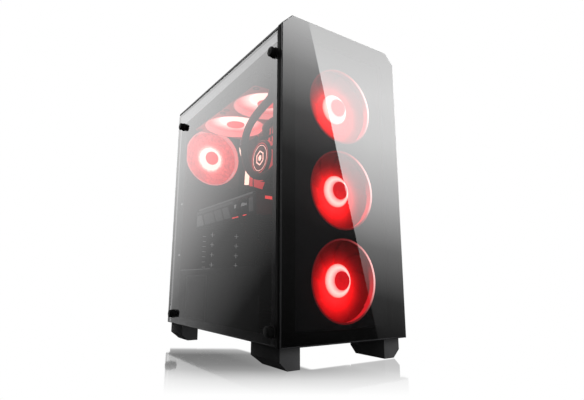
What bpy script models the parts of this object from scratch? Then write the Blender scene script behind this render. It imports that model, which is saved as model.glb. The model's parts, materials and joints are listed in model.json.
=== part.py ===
"""A mid-tower desktop computer as separate pieces: steel chassis, glass front and side, fans, liquid cooler,
motherboard, graphics card and power supply.

Sizes are millimetres in the case's own frame: X runs right from the side glass, Y runs back from the front glass,
Z runs up from the lower edge of the front glass. The empty case_origin moves that frame, so that the world origin
is under the middle of the whole machine, on the surface it stands on.
"""

import math

import bmesh
import bpy
from mathutils import Matrix, Vector

MM = 0.001
GAP = 0.4

# The case.
CASE_WIDTH = 210.0
FRONT_HEIGHT = 430.0
CORNER_CUT = 16.5
GLASS = 4.0
SHEET = 1.0
FOOT_HEIGHT = 26.5
SCREW_HEAD = 9.0
CASE_DEPTH = 397.0

BEZEL_BACK = 10.7
FRAME_FRONT = BEZEL_BACK + GAP
FRAME_LEFT = 5.6
FRAME_RIGHT = CASE_WIDTH - FRAME_LEFT
REAR_INNER = 387.0
REAR_OUTER = REAR_INNER + SHEET
SIDE_TOP = 408.0
TOP_FLAT = 426.5
TOP_INNER = TOP_FLAT - SHEET
TOP_EDGE = 410.0
WALL_TOP = TOP_INNER - 0.6

# The side glass and its thumbscrews.
SCREW_PLACES = {
    "front_top": (17.5, 376.0),
    "front_bottom": (17.5, 18.0),
    "rear_top": (356.5, 376.0),
    "rear_bottom": (356.5, 18.0),
}
SCREW_HOLE_R = 4.0
BOSS_R = 4.2
BOSS_BORE_R = 2.4
BOSS_REACH = 14.0
SHANK_R = 1.95

# Fans are 120 mm square and 25 mm thick.
FAN_SIZE = 120.0
FAN_DEPTH = 25.0
FAN_BORE_R = 57.5
FAN_HOLE_PITCH = 105.0
ROTOR_R = 55.5
HUB_R = 19.5
STRUT_DEPTH = 3.0
FRONT_FAN_X = 110.0
FRONT_FAN_Z = (77.0, 200.5, 324.0)
FRONT_FAN_Y = FRAME_FRONT + SHEET + GAP
REAR_FAN_X = 67.4
REAR_FAN_Z = 325.6
REAR_FAN_Y = REAR_INNER - GAP - FAN_DEPTH
TOP_FAN_X = 82.0
TOP_FAN_Y = (172.0, 292.4)
TOP_FAN_Z = 373.0

# The radiator lies between the top fans and the roof.
RADIATOR_Z = TOP_FAN_Z + FAN_DEPTH + GAP
RADIATOR_Y = (94.0, 371.0)
TANK_LENGTH = 17.0
BARB_X = {"a": 52.0, "b": 106.0}
BARB_Y = 102.5
BARB_R = 5.0
BARB_LENGTH = 8.0
TUBE_R = 6.0

# The pump sits on the processor.
PUMP_Y = 258.0
PUMP_Z = 308.0
PUMP_R = 36.0
PUMP_FACE = 118.0
FITTING_X = 127.0
FITTING_A_Z = 321.0
FITTING_B_Z = 357.5

# The motherboard stands on the tray by its standoffs.
TRAY_X = 188.5
BOARD_X = 180.4
BOARD_THICKNESS = 1.6
BOARD_Y = (139.0, 383.0)
BOARD_Z = (98.0, 403.0)
STANDOFF_R = 3.0
STANDOFF_Y = (376.6, 219.2, 155.7)
STANDOFF_Z = (392.8, 237.9, 116.0)
RAM_Y = (193.5, 212.5)
SLOT_PITCH = 20.32
SLOT_FIRST_Z = 108.0
IO_Z = (245.0, 403.7)
IO_X = (141.5, 186.0)

# The graphics card hangs below its board, fans down.
CARD_BOARD_Z = 212.4
CARD_X = (46.0, 166.0)
CARD_Y = (142.0, 383.0)
CARD_BOTTOM = 179.0
CARD_FAN_R = 43.0
CARD_FAN_X = 106.0
CARD_FAN_Y = (205.0, 312.0)

# The power supply lies on the floor under the shroud.
PSU_X = (26.0, 176.0)
PSU_Y = (236.0, REAR_INNER - GAP)
PSU_Z = (1.6, 87.6)
PSU_FAN = (101.0, 305.0)
PSU_WALL = 1.2
SHROUD_Z = 94.8
SHROUD_FRONT = 62.0
SHROUD_X = 8.0
INLET_X = (36.0, 64.0)
INLET_Z = (18.0, 42.0)
SWITCH_X = (72.0, 87.0)
SWITCH_Z = (20.0, 40.0)

# The drive cage stands in front of the power supply.
CAGE_Y = (66.0, 180.0)
CAGE_X = (36.0, 187.0)
CAGE_TOP = 88.0

# The port strip on the roof.
STRIP_X = (60.0, 150.0)
STRIP_Y = (20.0, 50.0)
STRIP_MID_Y = 35.0
STRIP_TOP = 429.0
PORT_BLOCK_X = (62.0, 148.0)
PORT_BLOCK_Y = (25.0, 45.0)
PORT_BLOCK_BOTTOM = 414.0
POWER_X = 136.0
POWER_R = 8.0
RESET_X = 69.0
RESET_R = 3.2
BUTTON_TOP = 429.8
BUTTON_CLEARANCE = 0.4
BUTTON_TRAVEL = 1.5
SWITCH_TOP = 409.0

# The dust filters.
TOP_FILTER_X = (20.0, 190.0)
TOP_FILTER_Y = (70.0, 376.0)
FLOOR_FILTER_X = (37.4, 164.6)
FLOOR_FILTER_Y = (243.0, 384.0)
FLOOR_FILTER_Z = (-2.7, -0.5)

# Finishes: colour, roughness, metallic.
BLACK_STEEL = ((0.018, 0.018, 0.02), 0.45, 0.6)
BLACK_PLASTIC = ((0.02, 0.02, 0.022), 0.5, 0.0)
DARK_GLASS = ((0.03, 0.03, 0.034), 0.05, 0.0)
RED_TRANSLUCENT = ((0.7, 0.04, 0.05), 0.3, 0.0)
RUBBER = ((0.015, 0.015, 0.015), 0.8, 0.0)
CIRCUIT_BOARD = ((0.02, 0.022, 0.026), 0.4, 0.0)
BARE_STEEL = ((0.55, 0.55, 0.57), 0.3, 1.0)
DARK_METAL = ((0.09, 0.09, 0.1), 0.35, 1.0)

AXES = {"X": 0, "Y": 1, "Z": 2}


def clear_scene():
    """Empties the file, so that only this machine is in it."""
    for thing in list(bpy.data.objects):
        bpy.data.objects.remove(thing)


def in_space(across, along, axis):
    """The case point for a place across an axis and one along it."""
    first, second = across
    if axis == "X":
        return (along, first, second)
    if axis == "Y":
        return (first, along, second)
    return (first, second, along)


def mesh_object(name, vertices, faces):
    """A new object whose mesh is given in millimetres, with its faces turned outwards."""
    mesh = bpy.data.meshes.new(name)
    mesh.from_pydata([Vector(v) * MM for v in vertices], [], faces)
    work = bmesh.new()
    work.from_mesh(mesh)
    bmesh.ops.recalc_face_normals(work, faces=work.faces)
    work.to_mesh(mesh)
    work.free()
    thing = bpy.data.objects.new(name, mesh)
    bpy.context.scene.collection.objects.link(thing)
    return thing


def prism(name, outline, axis, start, end):
    """A solid with this outline across its axis, from start to end."""
    count = len(outline)
    vertices = [in_space(p, start, axis) for p in outline] + [in_space(p, end, axis) for p in outline]
    faces = [tuple(range(count)), tuple(range(2 * count - 1, count - 1, -1))]
    for i in range(count):
        j = (i + 1) % count
        faces.append((i, i + count, j + count, j))
    return mesh_object(name, vertices, faces)


def box(name, x_span, y_span, z_span):
    """A block between two corners."""
    outline = [(x_span[0], y_span[0]), (x_span[1], y_span[0]), (x_span[1], y_span[1]), (x_span[0], y_span[1])]
    return prism(name, outline, "Z", z_span[0], z_span[1])


def circle(centre, radius, sides, turn=0.0):
    """The corners of a regular polygon."""
    steps = [turn + 2 * math.pi * i / sides for i in range(sides)]
    return [(centre[0] + radius * math.cos(a), centre[1] + radius * math.sin(a)) for a in steps]


def cylinder(name, centre, radius, axis, start, end, sides=24):
    """A round bar along an axis."""
    return prism(name, circle(centre, radius, sides), axis, start, end)


def turned(name, profile, centre, axis, sides=24):
    """A solid of revolution: the profile lists (along, radius) from one end of the axis to the other."""
    vertices = []
    for along, radius in profile:
        vertices += [in_space(p, along, axis) for p in circle(centre, radius, sides)]
    last = len(profile) - 1
    faces = [tuple(range(sides)), tuple(range((last + 1) * sides - 1, last * sides - 1, -1))]
    for ring in range(last):
        for i in range(sides):
            j = (i + 1) % sides
            low, high = ring * sides, (ring + 1) * sides
            faces.append((low + i, high + i, high + j, low + j))
    return mesh_object(name, vertices, faces)


def discard(thing):
    """Removes an object and its mesh."""
    mesh = thing.data
    bpy.data.objects.remove(thing)
    bpy.data.meshes.remove(mesh)


def gather(things):
    """One object holding the meshes of several that don't touch."""
    work = bmesh.new()
    for thing in things:
        work.from_mesh(thing.data)
    first = things[0]
    work.to_mesh(first.data)
    work.free()
    for thing in things[1:]:
        discard(thing)
    return first


def combine(body, tool, operation):
    """Applies one exact Boolean to the body and removes the tool."""
    modifier = body.modifiers.new(operation.lower(), "BOOLEAN")
    modifier.operation = operation
    modifier.solver = "EXACT"
    modifier.object = tool
    bpy.context.view_layer.update()
    graph = bpy.context.evaluated_depsgraph_get()
    result = bpy.data.meshes.new_from_object(body.evaluated_get(graph))
    old = body.data
    body.modifiers.clear()
    result.name = old.name
    body.data = result
    bpy.data.meshes.remove(old)
    discard(tool)
    return body


def cut(body, tools):
    """Takes away tools that don't touch each other."""
    return combine(body, gather(tools), "DIFFERENCE")


def fuse(body, tools):
    """Adds tools to the body, one after another."""
    for tool in tools:
        combine(body, tool, "UNION")
    return body


def finish(thing, look, smooth=False):
    """Gives a piece its material and its shading."""
    colour, roughness, metallic = look
    material = bpy.data.materials.new(thing.name)
    material.use_nodes = True
    shader = material.node_tree.nodes["Principled BSDF"]
    shader.inputs["Base Color"].default_value = (*colour, 1.0)
    shader.inputs["Roughness"].default_value = roughness
    shader.inputs["Metallic"].default_value = metallic
    thing.data.materials.clear()
    thing.data.materials.append(material)
    if smooth:
        thing.data.shade_smooth()
        thing.data.set_sharp_from_angle(angle=math.radians(35))
    return thing


def pivot(thing, place):
    """Moves an object's origin to its joint's axis, with its shape left where it is."""
    target = Vector(place) * MM
    thing.data.transform(Matrix.Translation(-target))
    thing.location = target
    return thing


def rows(start, end, pitch):
    """Evenly spaced places from start to end."""
    return [start + pitch * i for i in range(int((end - start) / pitch + 0.001) + 1)]


# --- Front panel ---


def front_outline(inset=0.0):
    """The front's outline: a tall rectangle with its upper corners cut off."""
    low, high = inset, CASE_WIDTH - inset
    shoulder = FRONT_HEIGHT - CORNER_CUT
    top = FRONT_HEIGHT - inset
    return [(low, inset), (high, inset), (high, shoulder), (high - CORNER_CUT, top), (low + CORNER_CUT, top), (low, shoulder)]


PEG_PLACES = ((13.0, 40.0), (197.0, 40.0), (13.0, 385.0), (197.0, 385.0))
PEG_R = 3.0
PEG_END = 18.0
BEZEL_SIDE = 24.0
BEZEL_FOOT = 16.0


def front_panel():
    """The glass and the plastic frame behind it, which plugs into the chassis with four pegs."""
    glass = prism("front_glass", front_outline(), "Y", 0.0, GLASS)
    finish(glass, DARK_GLASS)
    bezel = prism("front_bezel", front_outline(), "Y", GLASS + GAP, BEZEL_BACK)
    opening = box("opening", (BEZEL_SIDE, CASE_WIDTH - BEZEL_SIDE), (0, 2 * BEZEL_BACK), (BEZEL_FOOT, FRONT_HEIGHT - BEZEL_SIDE))
    cut(bezel, [opening])
    pegs = [cylinder("peg", place, PEG_R, "Y", BEZEL_BACK - 1, PEG_END, 12) for place in PEG_PLACES]
    fuse(bezel, pegs)
    finish(bezel, BLACK_PLASTIC)


# --- Chassis ---


def wall_outline():
    """The outline of the front and rear walls, which follow the roof's slopes."""
    slope_foot = TOP_EDGE + 2
    shoulder = 10.0
    return [
        (FRAME_LEFT, SHEET + GAP),
        (FRAME_RIGHT, SHEET + GAP),
        (FRAME_RIGHT, slope_foot),
        (FRAME_RIGHT - shoulder, WALL_TOP),
        (FRAME_LEFT + shoulder, WALL_TOP),
        (FRAME_LEFT, slope_foot),
    ]


def screw_bosses(body, front):
    """Adds the threaded bosses that the side glass's thumbscrews turn in."""
    places = [p for name, p in SCREW_PLACES.items() if name.startswith("front") == front]
    bosses = [cylinder("boss", p, BOSS_R, "X", GLASS + GAP, BOSS_REACH, 12) for p in places]
    fuse(body, bosses)
    bores = [cylinder("bore", p, BOSS_BORE_R, "X", 0, BOSS_REACH + 5, 10) for p in places]
    return cut(body, bores)


def chassis_front():
    """The steel wall behind the front panel, with the three fan openings."""
    wall = prism("chassis_front", wall_outline(), "Y", FRAME_FRONT, FRAME_FRONT + SHEET)
    flange_back = 30.0
    low = SHEET + GAP
    left = box("flange", (FRAME_LEFT, FRAME_LEFT + SHEET), (FRAME_FRONT, flange_back), (low, SIDE_TOP))
    right = box("flange", (FRAME_RIGHT - SHEET, FRAME_RIGHT), (FRAME_FRONT, flange_back), (low, SIDE_TOP))
    fuse(wall, [left, right])
    screw_bosses(wall, front=True)
    tools = [cylinder("aperture", (FRONT_FAN_X, z), FAN_BORE_R, "Y", 0, 20, 32) for z in FRONT_FAN_Z]
    tools += [cylinder("peg_hole", place, PEG_R + 0.5, "Y", 0, 20, 10) for place in PEG_PLACES]
    cut(wall, tools)
    finish(wall, BLACK_STEEL)


def hexagon_grille(centre, radius, pitch, web):
    """Hexagonal holes that fill a circle, each with a web of metal around it."""
    hole_r = (pitch - web) / math.sqrt(3)
    row_height = pitch * math.sqrt(3) / 2
    places = []
    reach = int(radius / row_height) + 1
    for row in range(-reach, reach + 1):
        shift = pitch / 2 if row % 2 else 0.0
        for column in range(-reach, reach + 1):
            x = column * pitch + shift
            z = row * row_height
            if math.hypot(x, z) + hole_r <= radius:
                places.append((centre[0] + x, centre[1] + z))
    turn = math.pi / 6
    return [prism("cell", circle(p, hole_r, 6, turn), "Y", REAR_INNER - 5, REAR_OUTER + 5) for p in places]


def slot_window(index, edge=0.0):
    """The X and Z spans of one expansion slot."""
    middle = SLOT_FIRST_Z + SLOT_PITCH * index
    return (83.0 - edge, 179.0 + edge), (middle - 7.5 - edge, middle + 7.5 + edge)


OPEN_SLOTS = 6
PANEL_SCREWS = {"top": (199.0, 330.0), "bottom": (199.0, 100.0)}


def chassis_rear():
    """The rear wall: fan grille, port opening, expansion slots and power supply opening."""
    wall = prism("chassis_rear", wall_outline(), "Y", REAR_INNER, REAR_OUTER)
    low = SHEET + GAP
    left = box("flange", (FRAME_LEFT, FRAME_LEFT + SHEET), (350.0, REAR_OUTER), (low, SIDE_TOP))
    right = box("flange", (FRAME_RIGHT - SHEET, FRAME_RIGHT), (365.0, REAR_OUTER), (low, SIDE_TOP))
    fuse(wall, [left, right])
    screw_bosses(wall, front=False)
    through = (REAR_INNER - 2, REAR_OUTER + 2)
    tools = hexagon_grille((REAR_FAN_X, REAR_FAN_Z), FAN_BORE_R, 18.0, 2.6)
    tools.append(box("ports", IO_X, through, IO_Z))
    for index in range(OPEN_SLOTS):
        x_span, z_span = slot_window(index)
        tools.append(box("slot", x_span, through, z_span))
    psu_edge = 4.0
    x_span = (PSU_X[0] + psu_edge, PSU_X[1] - psu_edge)
    tools.append(box("psu_opening", x_span, through, (PSU_Z[0] + psu_edge, PSU_Z[1] - psu_edge)))
    tools += [cylinder("hole", p, BOSS_BORE_R, "Y", *through, 12) for p in PANEL_SCREWS.values()]
    cut(wall, tools)
    finish(wall, BLACK_STEEL)


def chassis_bottom():
    """The floor, with the power supply's air slots and the rails of the dust filter below."""
    floor = box("chassis_bottom", (FRAME_LEFT, FRAME_RIGHT), (FRAME_FRONT, REAR_OUTER), (0, SHEET))
    left = box("flange", (FRAME_LEFT, FRAME_LEFT + SHEET), (30.6, 349.4), (0, 12))
    right = box("flange", (FRAME_RIGHT - SHEET, FRAME_RIGHT), (30.6, 364.4), (0, 12))
    rail_y = (240.0, 380.0)
    rails = []
    for outer, way in ((36.0, 1), (166.0, -1)):
        web = sorted((outer, outer + way * SHEET))
        lip = sorted((outer, outer + way * 4))
        rails.append(box("rail_web", web, rail_y, (-4, 0.5)))
        rails.append(box("rail_lip", lip, rail_y, (-4, -3.1)))
    fuse(floor, [left, right] + rails)
    slots = [box("slot", (44, 158), (y, y + 6), (-1, 2)) for y in rows(252, 352, 11.0)]
    cut(floor, slots)
    finish(floor, BLACK_STEEL)


def roof_profile():
    """The roof's bent sheet: two short sides, two slopes and a flat."""
    slope = 13.0
    outer = [(1.0, TOP_EDGE), (1.0, TOP_FLAT - slope), (1.0 + slope, TOP_FLAT)]
    bend = SHEET * math.tan(math.radians(22.5))
    inner = [(1.0 + SHEET, TOP_EDGE), (1.0 + SHEET, TOP_FLAT - slope - bend), (1.0 + slope + bend, TOP_INNER)]
    mirrored_outer = [(CASE_WIDTH - x, z) for x, z in reversed(outer)]
    mirrored_inner = [(CASE_WIDTH - x, z) for x, z in inner]
    return outer + mirrored_outer + mirrored_inner + list(reversed(inner))


def chassis_top():
    """The roof, with the air slots above the radiator and the opening for the ports."""
    roof = prism("chassis_top", roof_profile(), "Y", FRAME_FRONT, REAR_OUTER)
    through = (TOP_INNER - 2, TOP_FLAT + 2)
    tools = []
    for y in rows(112, 346, 15.6):
        tools.append(box("slot", (26, 101), (y, y + 7), through))
        tools.append(box("slot", (109, 184), (y, y + 7), through))
    x_span = (PORT_BLOCK_X[0] - GAP, PORT_BLOCK_X[1] + GAP)
    y_span = (PORT_BLOCK_Y[0] - GAP, PORT_BLOCK_Y[1] + GAP)
    tools.append(box("port_opening", x_span, y_span, through))
    cut(roof, tools)
    finish(roof, BLACK_STEEL)


CABLE_HOLE_Y = (103.0, 127.0)
CABLE_HOLES_Z = ((130.0, 190.0), (215.0, 275.0), (300.0, 360.0))


def motherboard_tray():
    """The inner wall that carries the motherboard on nine standoffs."""
    tray = box("motherboard_tray", (TRAY_X, TRAY_X + SHEET), (SHROUD_FRONT, REAR_INNER - GAP), (SHEET + GAP, SIDE_TOP))
    board_back = BOARD_X + BOARD_THICKNESS
    places = [(y, z) for y in STANDOFF_Y for z in STANDOFF_Z]
    standoffs = [cylinder("standoff", p, STANDOFF_R, "X", board_back + GAP, TRAY_X + 0.5, 8) for p in places]
    combine(tray, gather(standoffs), "UNION")
    through = (TRAY_X - 2, TRAY_X + SHEET + 2)
    tools = [box("cable_hole", through, CABLE_HOLE_Y, span) for span in CABLE_HOLES_Z]
    tools.append(box("cpu_window", through, (232, 330), (252, 372)))
    tools.append(box("psu_cables", through, (188, 250), (12, 82)))
    tools.append(box("drive_door", through, (CAGE_Y[0] + 2, CAGE_Y[1] - 2), (6, 86)))
    cut(tray, tools)
    finish(tray, BLACK_STEEL)


SHROUD_HOLE_X = (150.0, 182.0)
SHROUD_HOLE_Y = (188.0, 216.0)


def psu_shroud():
    """The cover over the power supply and drives, with a window in its side."""
    y_span = (SHROUD_FRONT, REAR_INNER - GAP)
    top = box("psu_shroud", (SHROUD_X, TRAY_X - GAP), y_span, (SHROUD_Z, SHROUD_Z + SHEET))
    side = box("side", (SHROUD_X, SHROUD_X + SHEET), y_span, (SHEET + GAP, SHROUD_Z + SHEET))
    fuse(top, [side])
    side_cut = (SHROUD_X - 1, SHROUD_X + 2)
    tools = [
        box("window", side_cut, (225, 330), (18, 83)),
        box("boss_notch", side_cut, (350, 363), (10, 26)),
        box("cable_hole", SHROUD_HOLE_X, SHROUD_HOLE_Y, (SHROUD_Z - 1, SHROUD_Z + 2)),
    ]
    cut(top, tools)
    finish(top, BLACK_STEEL)


def drive_cage():
    """The bent steel tunnel that the drive slides into from the right."""
    low = SHEET + GAP
    cage = box("drive_cage", CAGE_X, CAGE_Y, (low, CAGE_TOP))
    beyond = (CAGE_X[0] - 5, CAGE_X[1] + 5)
    inner_y = (CAGE_Y[0] + SHEET, CAGE_Y[1] - SHEET)
    middle = 45.0
    tools = [
        box("lower_bay", beyond, inner_y, (low + SHEET, middle)),
        box("upper_bay", beyond, inner_y, (middle + SHEET, CAGE_TOP - SHEET)),
    ]
    cut(cage, tools)
    finish(cage, BLACK_STEEL)


def left_glass():
    """The side's sheet of glass, with a hole for each thumbscrew."""
    glass = box("left_glass", (0, GLASS), (FRAME_FRONT, REAR_INNER), (1, SIDE_TOP))
    holes = [cylinder("hole", p, SCREW_HOLE_R, "X", -1, GLASS + 1, 16) for p in SCREW_PLACES.values()]
    cut(glass, holes)
    finish(glass, DARK_GLASS)


def glass_screws():
    """The side glass's thumbscrews: a knurled head, a washer face and a shank."""
    for name, (y, z) in SCREW_PLACES.items():
        profile = [
            (-SCREW_HEAD, 5.9),
            (-SCREW_HEAD + 0.8, 6.7),
            (-1.8, 6.7),
            (-1.8, 7.6),
            (-GAP, 7.6),
            (-GAP, SHANK_R),
            (BOSS_REACH - 0.5, SHANK_R),
        ]
        screw = turned("glass_screw_" + name, profile, (y, z), "X", 16)
        finish(screw, BLACK_PLASTIC, smooth=True)
        pivot(screw, (0, y, z))


PANEL_LIP_Y = (REAR_OUTER + GAP, REAR_OUTER + GAP + SHEET)


def right_panel():
    """The steel side: a flat sheet with turned-in edges and a lip over the rear wall."""
    outer = CASE_WIDTH
    edge_x = (FRAME_RIGHT + 0.6, outer - 0.5)
    z_span = (1.0, SIDE_TOP)
    panel = box("right_panel", (outer - SHEET, outer), (FRAME_FRONT, PANEL_LIP_Y[1]), z_span)
    tools = [
        box("front_edge", edge_x, (FRAME_FRONT, FRAME_FRONT + SHEET), z_span),
        box("top_edge", edge_x, (FRAME_FRONT, PANEL_LIP_Y[0]), (SIDE_TOP - SHEET, SIDE_TOP)),
        box("bottom_edge", edge_x, (FRAME_FRONT, PANEL_LIP_Y[0]), (1.0, 1.0 + SHEET)),
        box("lip", (191.0, outer - 0.5), PANEL_LIP_Y, z_span),
    ]
    fuse(panel, tools)
    through = (PANEL_LIP_Y[0] - 1, PANEL_LIP_Y[1] + 1)
    holes = [cylinder("hole", p, BOSS_BORE_R, "Y", *through, 12) for p in PANEL_SCREWS.values()]
    cut(panel, holes)
    finish(panel, BLACK_STEEL)


def panel_screws():
    """The two thumbscrews that hold the steel side to the rear wall."""
    face = PANEL_LIP_Y[1] + GAP
    for name, (x, z) in PANEL_SCREWS.items():
        profile = [
            (REAR_INNER - 6, SHANK_R),
            (face, SHANK_R),
            (face, 5.8),
            (CASE_DEPTH - 0.8, 5.8),
            (CASE_DEPTH, 5.0),
        ]
        screw = turned("panel_screw_" + name, profile, (x, z), "Y", 16)
        finish(screw, BLACK_PLASTIC, smooth=True)
        pivot(screw, (x, face, z))


FOOT_X = 5.5
FOOT_WIDTH = 29.0
FOOT_SPANS = {"front": (10.0, 78.0), "rear": (323.0, 380.0)}
FOOT_BEVEL = 11.0
FOOT_BEVEL_RISE = 10.5


def feet():
    """Four feet, each with its outer lower edge and its rear lower edge cut off at a slant."""
    bottom, top = -FOOT_HEIGHT, -GAP
    for place, (front, back) in FOOT_SPANS.items():
        for side in ("left", "right"):
            section = [
                (FOOT_X, top),
                (FOOT_X, bottom + FOOT_BEVEL_RISE),
                (FOOT_X + FOOT_BEVEL, bottom),
                (FOOT_X + FOOT_WIDTH, bottom),
                (FOOT_X + FOOT_WIDTH, top),
            ]
            if side == "right":
                section = [(CASE_WIDTH - x, z) for x, z in section]
            foot = prism(f"foot_{place}_{side}", section, "Y", front, back)
            below = bottom - 0.5
            wedge = [(back - FOOT_BEVEL - 0.5, below), (back + 5, below), (back + 5, bottom + FOOT_BEVEL_RISE + 5)]
            x_low = 0.0 if side == "left" else CASE_WIDTH / 2
            cut(foot, [prism("bevel", wedge, "X", x_low, x_low + CASE_WIDTH / 2)])
            finish(foot, BLACK_PLASTIC)


# --- Filters ---


def filter_grid(name, x_span, y_span, z_span, columns, lines, rim, bar):
    """A frame crossed by thin bars, which carry the mesh."""
    plate = box(name, x_span, y_span, z_span)
    x_step = (x_span[1] - x_span[0] - 2 * rim + bar) / columns
    y_step = (y_span[1] - y_span[0] - 2 * rim + bar) / lines
    through = (z_span[0] - 1, z_span[1] + 1)
    windows = []
    for column in range(columns):
        x = x_span[0] + rim + column * x_step
        for line in range(lines):
            y = y_span[0] + rim + line * y_step
            windows.append(box("window", (x, x + x_step - bar), (y, y + y_step - bar), through))
    return cut(plate, windows)


def filters():
    """The magnetic mesh on the roof and the sliding one under the power supply."""
    top = filter_grid("top_filter", TOP_FILTER_X, TOP_FILTER_Y, (TOP_FLAT + GAP, 429.2), 4, 7, 7.0, 2.0)
    finish(top, BLACK_PLASTIC)
    low = filter_grid("psu_filter", FLOOR_FILTER_X, FLOOR_FILTER_Y, FLOOR_FILTER_Z, 4, 4, 6.0, 2.0)
    grip = box("grip", (86, 116), (FLOOR_FILTER_Y[1] - 1, REAR_OUTER + 2), FLOOR_FILTER_Z)
    fuse(low, [grip])
    finish(low, BLACK_PLASTIC)


# --- Port strip and buttons ---


def port_strip():
    """The strip of ports on the roof: two sockets, two round jacks and two buttons."""
    strip = box("io_panel", STRIP_X, STRIP_Y, (TOP_FLAT + GAP, STRIP_TOP))
    block = box("block", PORT_BLOCK_X, PORT_BLOCK_Y, (PORT_BLOCK_BOTTOM, TOP_FLAT + GAP + 1))
    fuse(strip, [block])
    above = STRIP_TOP + 1
    sockets = [box("socket", (x, x + 13.2), (STRIP_MID_Y - 2.9, STRIP_MID_Y + 2.9), (416, above)) for x in (76.0, 92.0)]
    jacks = [cylinder("jack", (x, STRIP_MID_Y), 1.8, "Z", 416, above, 12) for x in (112.0, 121.0)]
    below = PORT_BLOCK_BOTTOM - 1
    bores = [
        cylinder("bore", (POWER_X, STRIP_MID_Y), POWER_R + BUTTON_CLEARANCE, "Z", below, above, 32),
        cylinder("bore", (RESET_X, STRIP_MID_Y), RESET_R + BUTTON_CLEARANCE, "Z", below, above, 20),
    ]
    cut(strip, sockets + jacks + bores)
    finish(strip, BLACK_PLASTIC)


def buttons():
    """Two round buttons, which travel down in the strip's bores onto their switches."""
    low = SWITCH_TOP + BUTTON_TRAVEL + 0.4
    for name, x, radius in (("power_button", POWER_X, POWER_R), ("reset_button", RESET_X, RESET_R)):
        profile = [(low, radius), (BUTTON_TOP - 0.5, radius), (BUTTON_TOP, radius - 0.5)]
        button = turned(name, profile, (x, STRIP_MID_Y), "Z", 28)
        finish(button, BLACK_PLASTIC, smooth=True)
        pivot(button, (x, STRIP_MID_Y, BUTTON_TOP))


def port_board():
    """The small circuit board below the strip, with a switch under each button."""
    board = box("io_board", STRIP_X, (24, 46), (404, 405.6))
    parts = [box("switch", (x - 3, x + 3), (32, 38), (405, SWITCH_TOP)) for x in (POWER_X, RESET_X)]
    parts.append(box("sockets", (76, 105), (29, 41), (405, 413)))
    fuse(board, parts)
    finish(board, CIRCUIT_BOARD)


# --- Fans ---


def fan_frame_mesh():
    """A fan's square frame about its own axis, with its motor plate on four struts at the outlet side."""
    half = FAN_SIZE / 2
    frame = box("fan_frame", (-half, half), (-half, half), (0, FAN_DEPTH))
    holes = [cylinder("bore", (0, 0), FAN_BORE_R, "Z", -1, FAN_DEPTH + 1, 32)]
    reach = FAN_HOLE_PITCH / 2
    for x in (-reach, reach):
        for y in (-reach, reach):
            holes.append(cylinder("screw_hole", (x, y), 2.2, "Z", -1, FAN_DEPTH + 1, 6))
    cut(frame, holes)
    struts = (FAN_DEPTH - STRUT_DEPTH, FAN_DEPTH)
    arm = FAN_BORE_R + 1
    cross = box("strut", (-arm, arm), (-2.5, 2.5), struts)
    other = box("strut", (-2.5, 2.5), (-arm, arm), struts)
    plate = cylinder("plate", (0, 0), HUB_R + 1, "Z", *struts, 16)
    fuse(cross, [other, plate])
    fuse(frame, [cross])
    return frame


def blade(turn, root_r, tip_r, low, high, sweep, lean, thickness):
    """One fan blade: a thin slab from the hub outwards, leaning along the axis."""
    vertices = []
    for radius, swept in ((root_r, 0.0), (tip_r, sweep)):
        for along, ahead in ((low, -lean / 2), (high, lean / 2)):
            for side in (-thickness / 2, thickness / 2):
                angle = turn + swept + (ahead + side) / radius
                vertices.append((radius * math.cos(angle), radius * math.sin(angle), along))
    faces = [(0, 1, 3, 2), (4, 6, 7, 5), (0, 4, 5, 1), (2, 3, 7, 6), (0, 2, 6, 4), (1, 5, 7, 3)]
    return mesh_object("blade", vertices, faces)


def rotor(name, hub_r, tip_r, depth, count):
    """A hub with its blades about its own axis."""
    hub = turned(name, [(0, hub_r - 1.5), (1.5, hub_r), (depth, hub_r)], (0, 0), "Z", 18)
    sweep = math.radians(18)
    turns = [2 * math.pi * i / count for i in range(count)]
    blades = [blade(a, hub_r - 1.5, tip_r, 2.0, depth - 1.0, sweep, 16.0 * tip_r / ROTOR_R, 1.4) for a in turns]
    return combine(hub, gather(blades), "UNION")


TURN_TO_Y = Matrix.Rotation(math.radians(-90), 4, "X")


def place_fan(name, frame_mesh, rotor_mesh, centre, axis):
    """Puts a fan's frame and rotor at its inlet face's centre, blowing along +Y or +Z."""
    turn = TURN_TO_Y if axis == "Y" else Matrix.Identity(4)
    looks = (("frame", frame_mesh, BLACK_PLASTIC), ("rotor", rotor_mesh, RED_TRANSLUCENT))
    for kind, mesh, look in looks:
        thing = bpy.data.objects.new(f"{name}_fan_{kind}", mesh.copy())
        bpy.context.scene.collection.objects.link(thing)
        thing.matrix_world = Matrix.Translation(Vector(centre) * MM) @ turn
        finish(thing, look, smooth=kind == "rotor")


def fans():
    """The six case fans: three in front, one behind, two under the radiator."""
    frame = fan_frame_mesh()
    wheel = rotor("fan_rotor", HUB_R, ROTOR_R, 20.0, 7)
    wheel.data.transform(Matrix.Translation((0, 0, 0.8 * MM)))
    for name, z in zip(("front_lower", "front_middle", "front_upper"), FRONT_FAN_Z):
        place_fan(name, frame.data, wheel.data, (FRONT_FAN_X, FRONT_FAN_Y, z), "Y")
    place_fan("rear", frame.data, wheel.data, (REAR_FAN_X, REAR_FAN_Y, REAR_FAN_Z), "Y")
    for name, y in zip(("top_front", "top_rear"), TOP_FAN_Y):
        place_fan(name, frame.data, wheel.data, (TOP_FAN_X, y, TOP_FAN_Z), "Z")
    discard(frame)
    discard(wheel)


# --- Liquid cooler ---


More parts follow.
